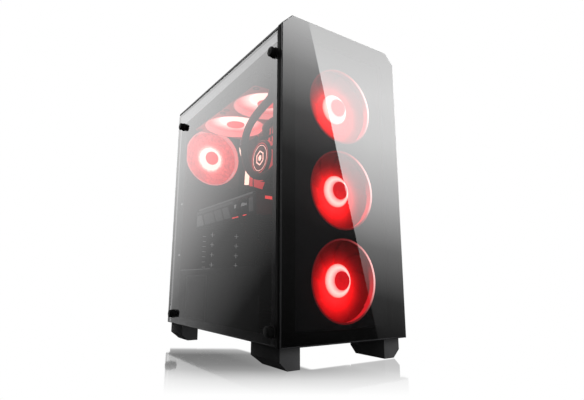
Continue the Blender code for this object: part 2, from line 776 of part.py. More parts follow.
def radiator():
    """The radiator: a tank at each end of its core, with two barbs below the front tank."""
    half = FAN_SIZE / 2
    x_span = (TOP_FAN_X - half, TOP_FAN_X + half)
    core_x = (x_span[0] + 2, x_span[1] - 2)
    top = TOP_INNER - GAP
    tank_ends = (RADIATOR_Y[0] + TANK_LENGTH, RADIATOR_Y[1] - TANK_LENGTH)
    body = box("radiator", x_span, (RADIATOR_Y[0], tank_ends[0]), (RADIATOR_Z, top))
    rear = box("tank", x_span, (tank_ends[1], RADIATOR_Y[1]), (RADIATOR_Z, top))
    core = box("core", core_x, (tank_ends[0] - 2, tank_ends[1] + 2), (RADIATOR_Z, top))
    bottom = RADIATOR_Z - BARB_LENGTH
    barbs = [cylinder("barb", (x, BARB_Y), BARB_R, "Z", bottom, RADIATOR_Z + 1, 16) for x in BARB_X.values()]
    fuse(body, [rear, core] + barbs)
    finish(body, BLACK_PLASTIC)


FITTING_A_Y = 214.0
FITTING_B_Y = 262.0


def pump():
    """The pump and its cold plate, with an elbow for each tube."""
    body = cylinder("pump_block", (PUMP_Y, PUMP_Z), PUMP_R, "X", PUMP_FACE, 166.0, 40)
    plate = box("plate", (165.0, 171.6), (PUMP_Y - 30, PUMP_Y + 30), (PUMP_Z - 30, PUMP_Z + 30))
    fitting_a = cylinder("fitting", (FITTING_X, FITTING_A_Z), BARB_R, "Y", FITTING_A_Y, PUMP_Y - 20, 16)
    riser = cylinder("riser", (FITTING_X, FITTING_B_Y + 8), BARB_R, "Z", PUMP_Z + 20, FITTING_B_Z + 5, 16)
    fitting_b = cylinder("fitting", (FITTING_X, FITTING_B_Z), BARB_R - 0.4, "Y", FITTING_B_Y, FITTING_B_Y + 8, 16)
    fuse(body, [plate, fitting_a, riser, fitting_b])
    finish(body, BLACK_PLASTIC)


TUBE_ROUTES = {
    "a": [
        (52, 102.5, 389.8),
        (52, 102.7, 382),
        (52.3, 104.2, 372),
        (53, 109, 364.5),
        (55, 120, 361),
        (61, 150, 361.5),
        (74, 204, 361.5),
        (85, 246, 356),
        (93, 272, 341),
        (97, 281, 320),
        (100, 275, 294),
        (103, 259, 275),
        (106, 238, 265.5),
        (108, 216, 264),
        (110, 195, 269),
        (113, 177, 280),
        (117, 168, 295),
        (121, 173, 310),
        (125, 188, 319.5),
        (127, 204, 321),
        (127, 213.6, 321),
    ],
    "b": [
        (106, 102.5, 389.8),
        (106, 102.7, 382),
        (106, 104.2, 371),
        (106, 109, 363),
        (105.5, 120, 359),
        (105, 142, 358),
        (105, 172, 358),
        (106, 202, 358),
        (112, 226, 358),
        (121, 240, 357.8),
        (126.5, 251, 357.5),
        (127, 261.2, 357.5),
    ],
}


def smooth_route(places, step):
    """Points every step or so along a Catmull-Rom curve through the places."""
    points = [Vector(p) for p in places]
    points = [2 * points[0] - points[1]] + points + [2 * points[-1] - points[-2]]
    result = []
    for i in range(1, len(points) - 2):
        before, start, end, after = points[i - 1 : i + 3]
        count = max(1, round((end - start).length / step))
        for k in range(count):
            t = k / count
            result.append(
                0.5
                * (
                    2 * start
                    + (end - before) * t
                    + (2 * before - 5 * start + 4 * end - after) * t**2
                    + (3 * start - before - 3 * end + after) * t**3
                )
            )
    result.append(points[-2])
    return result


def tube(name, places, radius, step, look):
    """A round tube along a smooth route, with filled ends."""
    curve = bpy.data.curves.new(name, "CURVE")
    curve.dimensions = "3D"
    curve.bevel_depth = radius * MM
    curve.bevel_resolution = 2
    curve.use_fill_caps = True
    route = smooth_route(places, step)
    spline = curve.splines.new("POLY")
    spline.points.add(len(route) - 1)
    for knot, place in zip(spline.points, route):
        knot.co = (*(place * MM), 1.0)
    thing = bpy.data.objects.new(name, curve)
    bpy.context.scene.collection.objects.link(thing)
    material = bpy.data.materials.new(name)
    material.use_nodes = True
    colour, roughness, metallic = look
    shader = material.node_tree.nodes["Principled BSDF"]
    shader.inputs["Base Color"].default_value = (*colour, 1.0)
    shader.inputs["Roughness"].default_value = roughness
    shader.inputs["Metallic"].default_value = metallic
    curve.materials.append(material)


def tubes():
    """The two coolant tubes between the radiator and the pump."""
    for name, places in TUBE_ROUTES.items():
        tube("tube_" + name, places, TUBE_R, 14.0, RUBBER)


# --- Electronics ---

PORT_STACKS = ((250, 266, 150), (272, 288, 150), (294, 310, 146), (316, 334, 146), (340, 356, 150), (364, 398, 156))
MEMORY_SLOT_Y = (184.0, 193.5, 203.0, 212.5)
CARD_SLOT_Z = (213.2, 172.6, 131.9)


def motherboard():
    """The circuit board with its ports, sockets and slots."""
    face = BOARD_X
    root = (face, face + BOARD_THICKNESS / 2)
    board = box("motherboard", (face, face + BOARD_THICKNESS), BOARD_Y, BOARD_Z)
    parts = [box("port", (x, root[1]), (362, 386.4), (low, high)) for low, high, x in PORT_STACKS]
    parts.append(box("socket", (172, root[1]), (226, 290), (276, 340)))
    parts += [box("memory_slot", (174, root[1]), (y - 2.8, y + 2.8), (257, 399)) for y in MEMORY_SLOT_Y]
    parts += [box("card_slot", (169, root[1]), (234, 323), (z - 3.7, z + 3.7)) for z in CARD_SLOT_Z]
    parts.append(box("power_socket", (168, root[1]), (141, 151), (300, 352)))
    parts.append(box("drive_sockets", (170, root[1]), (140, 158), (190, 206)))
    parts.append(box("chipset_cooler", (171, root[1]), (165, 215), (122, 162)))
    parts.append(box("regulator_cooler", (152, root[1]), (300, 312), (276, 366)))
    parts.append(box("sound_chips", (176, root[1]), (345, 375), (104, 150)))
    combine(board, gather(parts), "UNION")
    finish(board, CIRCUIT_BOARD)


def port_cover():
    """The cover over the back of the ports: a lid with one side that comes down to the board."""
    lid = box("io_cover", (139.0, 143.0), (318, 385), (248, 370))
    side = box("side", (139.0, BOARD_X - GAP), (318, 321), (248, 370))
    fuse(lid, [side])
    finish(lid, BLACK_PLASTIC)


def port_shield():
    """The plate around the ports in the rear wall."""
    x_span = (IO_X[0] + GAP, IO_X[1] - GAP)
    z_span = (IO_Z[0] + GAP, IO_Z[1] - GAP)
    shield = box("io_shield", x_span, (REAR_INNER + 0.1, REAR_OUTER - 0.1), z_span)
    holes = [box("hole", (x + 1, 179), (380, 395), (low + 1, high - 1)) for low, high, x in PORT_STACKS]
    cut(shield, holes)
    finish(shield, BARE_STEEL)


def memory():
    """Two memory modules with heat spreaders."""
    for index, y in enumerate(RAM_Y):
        outline = [(142.8, 262), (142.8, 390), (146, 393), (173.6, 393), (173.6, 259), (146, 259)]
        module = prism(f"ram_{index + 1}", [(x, z) for x, z in outline], "Y", y - 3.6, y + 3.6)
        finish(module, DARK_METAL)


def graphics_card():
    """The card's circuit board and bracket, the cooler's cover and its two fans."""
    board_top = CARD_BOARD_Z + BOARD_THICKNESS
    card = box("gpu_card", (52, 168.6), (150, 384.6), (CARD_BOARD_Z, board_top))
    bracket = box("bracket", (70, 181), (384.2, 385.2), (181.5, 218))
    backplate = box("backplate", (50, 164), (146, 380), (board_top - 0.5, 216.5))
    fins = box("fins", (56, 160), (152, 376), (193, CARD_BOARD_Z + 0.5))
    fuse(card, [bracket, backplate, fins])
    grooves = [box("groove", (50, 165), (y, y + 6), (190, 209)) for y in rows(160, 362, 14.0)]
    cut(card, grooves)
    finish(card, DARK_METAL)
    wall = 2.0
    shroud = box("gpu_shroud", CARD_X, CARD_Y, (CARD_BOTTOM, CARD_BOARD_Z - GAP))
    inner_x = (CARD_X[0] + wall, CARD_X[1] - wall)
    inner_y = (CARD_Y[0] + wall, CARD_Y[1] - wall)
    cut(shroud, [box("inside", inner_x, inner_y, (CARD_BOTTOM + wall, CARD_BOARD_Z + 5))])
    openings = [
        cylinder("fan_opening", (CARD_FAN_X, y), CARD_FAN_R, "Z", CARD_BOTTOM - 1, CARD_BOTTOM + wall + 1, 32) for y in CARD_FAN_Y
    ]
    cut(shroud, openings)
    finish(shroud, BLACK_PLASTIC)
    for name, y in zip(("front", "rear"), CARD_FAN_Y):
        wheel = rotor(f"gpu_{name}_fan_rotor", 14.0, CARD_FAN_R - 2, 11.0, 7)
        wheel.location = Vector((CARD_FAN_X, y, CARD_BOTTOM + 1.2)) * MM
        finish(wheel, BLACK_PLASTIC, smooth=True)


def power_supply():
    """The power supply: housing with its inlet, switch, fan and circuit board."""
    housing = box("psu_housing", PSU_X, PSU_Y, PSU_Z)
    wall = PSU_WALL
    inside = [(low + wall, high - wall) for low, high in (PSU_X, PSU_Y, PSU_Z)]
    cut(housing, [box("inside", *inside)])
    rear_cut = (PSU_Y[1] - 3, PSU_Y[1] + 3)
    tools = [cylinder("fan_opening", PSU_FAN, 58.0, "Z", PSU_Z[0] - 1, PSU_Z[0] + 3, 40)]
    tools.append(box("switch_opening", SWITCH_X, rear_cut, SWITCH_Z))
    tools += [box("vent", (96, 168), rear_cut, (z, z + 8)) for z in rows(12, 72, 12.0)]
    tools += [box("vent", (34, 88), rear_cut, (z, z + 8)) for z in rows(60, 72, 12.0)]
    cut(housing, tools)
    inlet = box("inlet", INLET_X, (PSU_Y[1] - 14, PSU_Y[1] + 0.2), INLET_Z)
    fuse(housing, [inlet])
    recess = box("recess", (INLET_X[0] + 2, INLET_X[1] - 2), (PSU_Y[1] - 12.5, PSU_Y[1] + 3), (INLET_Z[0] + 2, INLET_Z[1] - 2))
    cut(housing, [recess])
    finish(housing, BLACK_STEEL)
    psu_switch()
    wheel = rotor("psu_fan_rotor", 20.0, 55.0, 13.0, 7)
    wheel.location = Vector((*PSU_FAN, 5.0)) * MM
    finish(wheel, BLACK_PLASTIC, smooth=True)
    board = box("psu_board", (32, 170), (244, 368), (80, 81.6))
    parts = [
        box("transformer", (60, 95), (290, 325), (45, 80.5)),
        box("heatsink", (105, 109), (252, 360), (35, 80.5)),
        box("capacitor", (120, 150), (270, 300), (42, 80.5)),
        box("coil", (125, 150), (320, 345), (50, 80.5)),
    ]
    combine(board, gather(parts), "UNION")
    finish(board, CIRCUIT_BOARD)


def psu_switch():
    """The rocker switch: a flattened wedge that tips about a pin along X."""
    middle = (SWITCH_Z[0] + SWITCH_Z[1]) / 2
    reach = (SWITCH_Z[1] - SWITCH_Z[0]) / 2 - 1.2
    face = PSU_Y[1]
    outline = [
        (face - 5, middle - reach + 2),
        (face + 0.5, middle - reach),
        (face + 1.2, middle),
        (face + 3.5, middle + reach - 0.5),
        (face - 5, middle + reach - 2),
    ]
    rocker = prism("psu_switch", outline, "X", SWITCH_X[0] + 1, SWITCH_X[1] - 1)
    finish(rocker, BLACK_PLASTIC)
    pivot(rocker, (SWITCH_X[0], face - 2.5, middle))


def hard_drive():
    """A 3.5 inch drive in the lower bay: a cast body with a thinner lid."""
    low = 10.0
    body = box("hard_drive", (38.5, 185.5), (72.2, 173.8), (low, low + 23))
    lid = box("lid", (43, 181), (76, 170), (low + 22, low + 26.1))
    fuse(body, [lid])
    finish(body, DARK_METAL)


def slot_covers():
    """The covers of the four unused expansion slots, which share one screw flange."""
    y_span = (REAR_INNER - GAP - SHEET, REAR_INNER - GAP)
    z_low = SLOT_FIRST_Z - 9
    flange = box("slot_covers", (72, 80), y_span, (z_low, z_low + SLOT_PITCH * 3 + 18))
    strips = []
    for index in range(4):
        middle = SLOT_FIRST_Z + SLOT_PITCH * index
        strips.append(box("strip", (79, 183), y_span, (middle - 9, middle + 9)))
    combine(flange, gather(strips), "UNION")
    finish(flange, BARE_STEEL)


CABLE_ROUTES = {
    "atx_cable": (
        5.0,
        [
            (167.0, 146, 326),
            (160, 145, 326),
            (152, 139, 326),
            (151, 127, 327),
            (158, 118, 328),
            (172, 115, 329),
            (187, 115, 330),
            (196, 118, 324),
            (199, 126, 305),
            (199, 145, 245),
            (199, 170, 170),
            (199, 192, 105),
            (198, 205, 70),
            (192, 216, 50),
            (178, 218, 42),
            (165, 223, 40),
            (160, 229, 40),
            (160, 235.2, 40),
        ],
    ),
    "gpu_cable": (
        4.0,
        [
            (45.2, 172, 203),
            (40, 172, 203),
            (33, 171.6, 200),
            (30, 171, 190),
            (34, 170, 176),
            (44, 171, 158),
            (66, 176, 140),
            (100, 184, 126),
            (136, 194, 116),
            (156, 200, 108),
            (164, 202, 97),
            (164, 206, 84),
            (158, 216, 70),
            (151, 225, 63),
            (150, 230, 62),
            (150, 235.4, 62),
        ],
    ),
}


def cables():
    """The supply cables to the motherboard and to the graphics card."""
    for name, (radius, places) in CABLE_ROUTES.items():
        tube(name, places, radius, 13.0, RUBBER)


def stand_on_ground():
    """Moves the case's frame, so that the world origin is below its middle at the feet's underside."""
    origin = bpy.data.objects.new("case_origin", None)
    bpy.context.scene.collection.objects.link(origin)
    middle_x = (CASE_WIDTH - SCREW_HEAD) / 2
    origin.location = Vector((-middle_x, -CASE_DEPTH / 2, FOOT_HEIGHT)) * MM
    for thing in bpy.data.objects:
        if thing is not origin:
            thing.parent = origin


def main():
    clear_scene()
    front_panel()
    chassis_front()
    chassis_rear()
    chassis_bottom()
    chassis_top()
    motherboard_tray()
    psu_shroud()
    drive_cage()
    left_glass()
    glass_screws()
    right_panel()
    panel_screws()
    feet()
    filters()
    port_strip()
    buttons()
    port_board()
    fans()
    radiator()
    pump()
    tubes()
    motherboard()
    port_cover()
    port_shield()
    memory()
    graphics_card()
    power_supply()
    hard_drive()
    slot_covers()
    cables()
    stand_on_ground()


main()
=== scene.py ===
"""The looks of a desktop computer tower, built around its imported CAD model.

Places are in the case's own millimetres, as in part.py: X to the right from the side glass's outer face,
Y back from the front glass's outer face, Z up from the front glass's lower edge. Each finished piece is
turned into metres.
"""

import json
import math

import bmesh
import bpy
from mathutils import Matrix, Vector


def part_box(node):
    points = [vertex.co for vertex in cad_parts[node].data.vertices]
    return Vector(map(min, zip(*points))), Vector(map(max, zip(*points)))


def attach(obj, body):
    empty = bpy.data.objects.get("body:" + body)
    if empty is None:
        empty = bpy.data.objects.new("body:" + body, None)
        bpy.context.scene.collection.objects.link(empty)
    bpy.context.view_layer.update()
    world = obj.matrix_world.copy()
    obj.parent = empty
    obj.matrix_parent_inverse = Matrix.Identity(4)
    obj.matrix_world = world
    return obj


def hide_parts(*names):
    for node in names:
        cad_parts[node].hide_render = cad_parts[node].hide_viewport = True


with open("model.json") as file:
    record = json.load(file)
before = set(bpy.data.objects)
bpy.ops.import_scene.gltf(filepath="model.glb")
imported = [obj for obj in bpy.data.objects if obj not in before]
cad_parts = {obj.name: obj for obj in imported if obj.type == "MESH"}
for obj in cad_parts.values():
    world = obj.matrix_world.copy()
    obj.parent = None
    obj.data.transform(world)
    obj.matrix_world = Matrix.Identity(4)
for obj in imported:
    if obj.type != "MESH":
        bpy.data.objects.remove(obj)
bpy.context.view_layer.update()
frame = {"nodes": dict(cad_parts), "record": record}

MM = 0.001
CASE_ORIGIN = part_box("front_glass")[0]
NODE_BODY = {node: body for body, nodes in frame["record"]["behaviour"]["bodies"].items() for node in nodes}


def span(node):
    """The lowest and highest corners of a CAD node in case millimetres."""
    return [(corner - CASE_ORIGIN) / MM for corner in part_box(node)]


# --- Materials ---


class Nodes:
    """A node tree that is built one call at a time. A value is an output to link or a constant."""

    def __init__(self, tree):
        self.tree = tree

    def node(self, kind, **settings):
        node = self.tree.nodes.new("ShaderNode" + kind)
        for name, value in settings.items():
            setattr(node, name, value)
        return node

    def put(self, socket, value):
        if isinstance(value, bpy.types.NodeSocket):
            self.tree.links.new(value, socket)
        elif value is not None:
            socket.default_value = value

    def maths(self, operation, first, second=None):
        node = self.node("Math", operation=operation)
        self.put(node.inputs[0], first)
        self.put(node.inputs[1], second)
        return node.outputs["Value"]

    def vector(self, operation, first, second=None):
        node = self.node("VectorMath", operation=operation)
        self.put(node.inputs[0], first)
        self.put(node.inputs[1], second)
        return node.outputs["Vector" if operation == "SUBTRACT" else "Value"]

    def ramp(self, source, stops):
        """Colours or greys along a value."""
        ramp = self.node("ValToRGB")
        elements = ramp.color_ramp.elements
        while len(elements) < len(stops):
            elements.new(0.5)
        for element, (place, value) in zip(elements, stops):
            element.position = place
            element.color = (*value, 1.0) if isinstance(value, tuple) else (value, value, value, 1.0)
        self.put(ramp.inputs["Fac"], source)
        return ramp.outputs["Color"]


class Look(Nodes):
    """A material."""

    def __init__(self, name, colour, roughness=0.5, metallic=0.0):
        self.material = bpy.data.materials.new(name)
        self.material.use_nodes = True
        super().__init__(self.material.node_tree)
        self.shader = self.tree.nodes["Principled BSDF"]
        self.place = self.node("TexCoord").outputs["Object"]
        self.set("Base Color", (*colour, 1.0))
        self.set("Roughness", roughness)
        self.set("Metallic", metallic)

    def set(self, socket, value):
        """Sets or links one of the shader's own sockets."""
        self.put(self.shader.inputs[socket], value)
        return self

    def mapped(self, source, **settings):
        mapping = self.node("Mapping")
        for name, value in settings.items():
            mapping.inputs[name].default_value = value
        self.put(mapping.inputs["Vector"], source)
        return mapping.outputs["Vector"]

    def noise(self, scale, detail=3.0, stretch=None):
        texture = self.node("TexNoise")
        texture.inputs["Scale"].default_value = scale
        texture.inputs["Detail"].default_value = detail
        place = self.mapped(self.place, Scale=stretch) if stretch else self.place
        self.put(texture.inputs["Vector"], place)
        return texture.outputs["Fac"]

    def wave(self, axis, scale, place):
        texture = self.node("TexWave", wave_type="BANDS", bands_direction=axis, wave_profile="SIN")
        texture.inputs["Scale"].default_value = scale
        self.put(texture.inputs["Vector"], place)
        return texture.outputs["Fac"]

    def mix(self, fac, first, second, blend="MIX"):
        """One colour blended into another by a value."""
        node = self.node("Mix", data_type="RGBA", blend_type=blend)
        for index, value in ((0, fac), (6, first), (7, second)):
            self.put(node.inputs[index], (*value, 1.0) if isinstance(value, tuple) else value)
        return node.outputs[2]

    def tones(self, source, dark, light, low=0.3, high=0.7):
        """The colour, from dark to light along a value."""
        return self.set("Base Color", self.ramp(source, [(low, dark), (high, light)]))

    def rough(self, source, smooth, coarse, low=0.3, high=0.7):
        """The roughness along a value."""
        return self.set("Roughness", self.ramp(source, [(low, smooth), (high, coarse)]))

    def bump(self, height, strength, depth):
        bump = self.node("Bump")
        bump.inputs["Strength"].default_value = strength
        bump.inputs["Distance"].default_value = depth
        self.put(bump.inputs["Height"], height)
        return self.set("Normal", bump.outputs["Normal"])

    def share(self, part, other):
        """The surface: this part of it the shader's, and the rest another closure's."""
        blend = self.node("MixShader")
        for socket, value in zip(blend.inputs, (part, other, self.shader.outputs["BSDF"])):
            self.put(socket, value)
        self.put(self.tree.nodes["Material Output"].inputs["Surface"], blend.outputs["Shader"])


def moulded(name, dark, light, roughness=(0.4, 0.6), grain=2600.0, depth=0.00006, sheen=0.3):
    """Moulded plastic or a coated sheet: a fine grain, slow patches of tone, and edges where it is rubbed."""
    look = Look(name, dark, roughness[0]).set("Specular IOR Level", sheen)
    slow = look.noise(35.0, 4.0)
    fine = look.noise(grain, 2.0)
    body = look.ramp(slow, [(0.3, dark), (0.7, light)])
    edges = look.ramp(look.node("NewGeometry").outputs["Pointiness"], [(0.53, 0.0), (0.6, 1.0)])
    worn = tuple(min(1.0, 2.2 * c + 0.01) for c in light)
    look.set("Base Color", look.mix(look.maths("MULTIPLY", edges, 0.5), body, worn))
    mixed = look.maths("ADD", look.maths("MULTIPLY", slow, 0.6), look.maths("MULTIPLY", fine, 0.4))
    look.rough(mixed, *roughness)
    return look.bump(fine, 0.35, depth)


def brushed(name, dark, light, roughness=(0.22, 0.42), along=(1.0, 30.0, 30.0)):
    """Brushed or drawn metal: long scratches along one axis."""
    look = Look(name, light, roughness[0], 1.0)
    lines = look.noise(90.0, 5.0, along)
    look.tones(lines, dark, light)
    look.rough(look.noise(60.0, 4.0, along), *roughness)
    return look.bump(lines, 0.15, 0.00004)


def glowing(name, colour, strength, base=(0.6, 0.3, 0.3)):
    """A surface that emits, with a faint moulded grain: a lit diffuser on the LEDs, and painted glow, painted
    highlight and painted sheen on parts that only catch light.
    """
    look = Look(name, base, 0.35)
    look.set("Emission Color", (*colour, 1.0)).set("Emission Strength", strength)
    return look.bump(look.noise(900.0), 0.2, 0.00005)


def see_through(name, tint, ior, roughness):
    """A pane: clear with a tint from the front of each face, with a mirror sheen that follows the angle."""
    look = Look(name, (1.0, 1.0, 1.0), roughness, 1.0)
    look.rough(look.noise(9.0, 5.0), roughness, 3.0 * roughness, 0.35, 0.75)
    fresnel = look.node("Fresnel")
    fresnel.inputs["IOR"].default_value = ior
    behind = look.node("NewGeometry").outputs["Backfacing"]
    part = look.maths("MULTIPLY", fresnel.outputs["Fac"], look.maths("SUBTRACT", 1.0, behind))
    clear = look.node("BsdfTransparent")
    look.put(clear.inputs["Color"], look.mix(behind, tint, (1.0, 1.0, 1.0)))
    look.share(part, clear.outputs["BSDF"])
    return look


def circuit(name):
    """A black circuit board: faint tracks under the lacquer, pads and speckle."""
    look = Look(name, (0.012, 0.013, 0.016), 0.35)
    bricks = look.node("TexBrick")
    bricks.inputs["Scale"].default_value = 160.0
    bricks.inputs["Mortar Size"].default_value = 0.05
    look.put(bricks.inputs["Vector"], look.mapped(look.place, Rotation=(0.0, math.radians(90), 0.0)))
    lines = look.ramp(look.noise(140.0, 1.0, (1.0, 0.15, 1.0)), [(0.46, 0.0), (0.5, 1.0), (0.54, 0.0)])
    ground = look.mix(lines, (0.008, 0.009, 0.011), (0.024, 0.026, 0.03))
    pads = look.maths("MULTIPLY", bricks.outputs["Fac"], 0.3)
    look.set("Base Color", look.mix(pads, ground, (0.05, 0.045, 0.035)))
    look.rough(look.noise(500.0), 0.3, 0.5)
    return look.bump(lines, 0.3, 0.00005)


def braided(name, dark, light, pitch=520.0):
    """A braided sleeve: threads that cross over, read along and around the tube, with painted shade where
    they dip.
    """
    look = Look(name, dark, 0.7)
    uv = look.node("UVMap").outputs["UV"]
    scale = (pitch, pitch, 1.0)
    ways = [look.mapped(uv, Scale=scale, Rotation=(0.0, 0.0, math.radians(turn))) for turn in (45, -45)]
    height = look.maths("MAXIMUM", *[look.wave("X", 1.0, way) for way in ways])
    # Painted shade: darker where the threads dip.
    look.tones(height, dark, light, 0.2, 0.9)
    look.rough(look.noise(700.0), 0.55, 0.8)
    return look.bump(height, 0.6, 0.0004)


def meshed(name, dark, light, pitch=1500.0):
    """A fine woven mesh, whose threads run along X and Y, with painted shade in the gaps between them."""
    look = Look(name, dark, 0.6)
    height = look.maths("MAXIMUM", *[look.wave(axis, pitch, look.place) for axis in "XY"])
    # Painted shade: darker in the gaps between threads.
    look.tones(height, dark, light, 0.3, 0.95)
    look.rough(look.noise(60.0), 0.5, 0.7)
    return look.bump(height, 0.6, 0.0002)


def lit_from_hub(name, base, peak, stops, grain=0.25, middle=(0.5, 0.5), speck=420.0):
    """Red translucent plastic that glows by how far out it is, on a UV that spans its fan's frame: the LEDs'
    own glow on a collar, and painted light from the collar's LEDs on blades and hub caps.
    """
    look = Look(name, base, 0.35).set("Specular IOR Level", 0.1)
    offset = look.vector("SUBTRACT", look.node("UVMap").outputs["UV"], (*middle, 0.0))
    glow = look.ramp(look.maths("MULTIPLY", look.vector("LENGTH", offset), 2.0), stops)
    speckle = look.ramp(look.noise(speck, 4.0), [(0.35, 1.0 - grain), (0.65, 1.0)])
    look.set("Emission Color", look.mix(1.0, glow, speckle, "MULTIPLY")).set("Emission Strength", peak)
    look.tones(look.noise(60.0), tuple(0.75 * c for c in base), base)
    look.rough(look.noise(300.0), 0.28, 0.45)
    return look.bump(look.noise(400.0), 0.15, 0.00005)


def lit_wall(name, way, peak, stops):
    """A fan bore's wall with painted light: an emission for the LEDs' light falling on it, brighter towards
    one side of its frame.
    """
    look = Look(name, (0.3, 0.01, 0.012), 0.3).set("Specular IOR Level", 0.15)
    out = look.vector("DOT_PRODUCT", look.node("UVMap").outputs["UV"], (*way, 0.0))
    look.set("Emission Color", look.ramp(look.maths("MULTIPLY", out, 0.8), stops))
    look.set("Emission Strength", peak)
    look.rough(look.noise(300.0), 0.25, 0.4)
    return look.bump(look.noise(400.0), 0.1, 0.00004)


STEEL = moulded("powder_coat", (0.014, 0.014, 0.015), (0.018, 0.018, 0.019), (0.43, 0.52), 1500.0, 0.00008)
# A darker, less glossy copy of the powder coat: painted shade on the case's inner walls, and a plain dark
# coat on small parts.
DARK_COAT_AND_PAINTED_SHADE = moulded(
    "powder_coat_dark_and_painted_shade", (0.006, 0.006, 0.007), (0.011, 0.011, 0.012), (0.45, 0.62), 1500.0, 0.00008, 0.12
)
PLASTIC = moulded("black_moulding", (0.008, 0.008, 0.009), (0.015, 0.015, 0.016), (0.42, 0.6), sheen=0.15)
BEZEL = moulded("bezel_moulding", (0.002, 0.002, 0.002), (0.004, 0.004, 0.004), (0.5, 0.7), sheen=0.04)
FOOT_PLASTIC = moulded(
    "foot_moulding", (0.036, 0.036, 0.037), (0.05, 0.05, 0.051), (0.55, 0.7), 1900.0, 0.0001, 0.03
)
GLOSSY = moulded("gloss_moulding", (0.006, 0.006, 0.007), (0.011, 0.011, 0.012), (0.14, 0.24), 500.0, 0.00002)
SCREW = moulded(
    "black_oxide", (0.0015, 0.0015, 0.0015), (0.004, 0.004, 0.004), (0.35, 0.55), 2000.0, 0.00004, 0.05
)
RUBBER = moulded("rubber", (0.006, 0.006, 0.006), (0.011, 0.011, 0.011), (0.75, 0.9), 1200.0, 0.0001, 0.1)
TUBE = moulded("tube_rubber", (0.004, 0.004, 0.004), (0.008, 0.008, 0.008), (0.42, 0.58), 700.0, 0.00008, 0.2)
GREY = moulded("grey_moulding", (0.09, 0.09, 0.092), (0.13, 0.13, 0.133), (0.4, 0.55))
CARD_PLASTIC = moulded("card_moulding", (0.03, 0.03, 0.031), (0.05, 0.05, 0.052), (0.35, 0.5), sheen=0.4)
WHITE_PRINT = moulded("pale_print", (0.55, 0.55, 0.55), (0.7, 0.7, 0.7), (0.5, 0.6))
FRONT_EDGE = moulded(
    "glass_edge", (0.01, 0.01, 0.011), (0.018, 0.018, 0.019), (0.2, 0.3), 300.0, 0.00002, 0.12
)
SIDE_EDGE = moulded(
    "side_glass_edge", (0.004, 0.004, 0.004), (0.009, 0.009, 0.009), (0.3, 0.4), 300.0, 0.00002, 0.05
)
BARE = brushed("bare_steel", (0.38, 0.38, 0.39), (0.62, 0.62, 0.64))
DARK_METAL = brushed("anodised", (0.035, 0.035, 0.038), (0.07, 0.07, 0.075), (0.25, 0.4), (1.0, 1.0, 25.0))
FINS = brushed("fin_metal", (0.1, 0.1, 0.105), (0.2, 0.2, 0.21), (0.3, 0.5), (20.0, 1.0, 20.0))
GOLD = brushed("gold_contact", (0.7, 0.45, 0.14), (0.9, 0.62, 0.25), (0.2, 0.35))
BOARD = circuit("circuit_board")
SLEEVE = braided("cable_sleeve", (0.006, 0.006, 0.006), (0.03, 0.03, 0.03))
MESH = meshed("filter_mesh", (0.004, 0.004, 0.004), (0.035, 0.035, 0.035))
SIDE_PANE = see_through("side_glass", (0.52, 0.52, 0.53), 2.2, 0.004)
FRONT_PANE = see_through("front_glass", (0.56, 0.56, 0.57), 2.6, 0.002)
INNER_COLLAR = glowing("bright_fan_collar", (1.0, 0.52, 0.46), 3.0)
# Painted red glow on the bore walls and lips of the rear and top fans.
INNER_RIM_PAINTED_GLOW = glowing("fan_rim_painted_glow", (1.0, 0.3, 0.3), 0.9, (0.5, 0.05, 0.05))
# Painted pale glow on a hem, tabs, crosses, ticks and a strip that only catch light.
PALE_PAINTED_GLOW = glowing("pale_painted_glow", (1.0, 1.0, 1.0), 0.25, (0.5, 0.5, 0.5))
# Painted red glow on the top fans' smoked inlet flanges.
SMOKY_RED_PAINTED_GLOW = glowing("smoky_red_painted_glow", (1.0, 0.06, 0.07), 0.22, (0.1, 0.01, 0.012))
PUMP_LIGHT = glowing("pump_light", (1.0, 0.5, 0.42), 3.2)
COVER_LIGHT = glowing("cover_light", (1.0, 0.62, 0.5), 3.0)
# A painted highlight on edges and on a facet.
PAINTED_HIGHLIGHT = glowing("pale_painted_highlight", (1.0, 1.0, 1.0), 0.13, (0.1, 0.1, 0.1))
# Painted sheen on the graphics card cover's facets.
CARD_FACET_PAINTED_SHEEN = glowing("card_facet_painted_sheen", (1.0, 1.0, 1.0), 0.075, (0.06, 0.06, 0.06))
RED_STRIP = glowing("red_strip", (1.0, 0.05, 0.05), 1.6)
# The memory's lit LED edge, and painted red light on the pump, the processor's coolers and the port cover.
RED_LED_AND_PAINTED_GLOW = glowing("red_led_and_painted_glow", (1.0, 0.06, 0.07), 0.9, (0.3, 0.02, 0.02))

# The lit fans: each (place, colour) pair is one stop of the glow, from the hub or the dark side outwards; on
# the collars it is the LEDs' own, and on the blades, hub caps and bore walls it is painted light.
FRONT_BLADE_PAINTED_GLOW = [
    (0.3, (1.0, 0.02, 0.022)), (0.42, (0.95, 0.01, 0.012)), (0.48, (0.78, 0.005, 0.007)),
    (0.57, (0.42, 0.003, 0.004)), (0.66, (0.2, 0.001, 0.002)), (0.75, (0.075, 0.0, 0.001)),
    (0.85, (0.015, 0.0, 0.0)), (0.97, (0.004, 0.0, 0.0)),
]
FRONT_COLLAR_GLOW = [
    (0.2, (0.8, 0.06, 0.07)), (0.25, (1.0, 0.42, 0.38)), (0.29, (1.0, 0.62, 0.54)), (0.34, (1.0, 0.42, 0.38)),
    (0.38, (1.0, 0.12, 0.1)),
]
REAR_BLADE_PAINTED_GLOW = [
    (0.4, (1.0, 0.6, 0.5)), (0.48, (0.6, 0.13, 0.12)), (0.56, (0.36, 0.05, 0.05)),
    (0.75, (0.29, 0.034, 0.038)), (0.95, (0.23, 0.034, 0.038)),
]
TOP_BLADE_PAINTED_GLOW = [
    (0.41, (1.0, 0.8, 0.72)), (0.56, (0.7, 0.4, 0.36)), (0.8, (0.4, 0.1, 0.1)), (0.95, (0.3, 0.035, 0.04)),
]
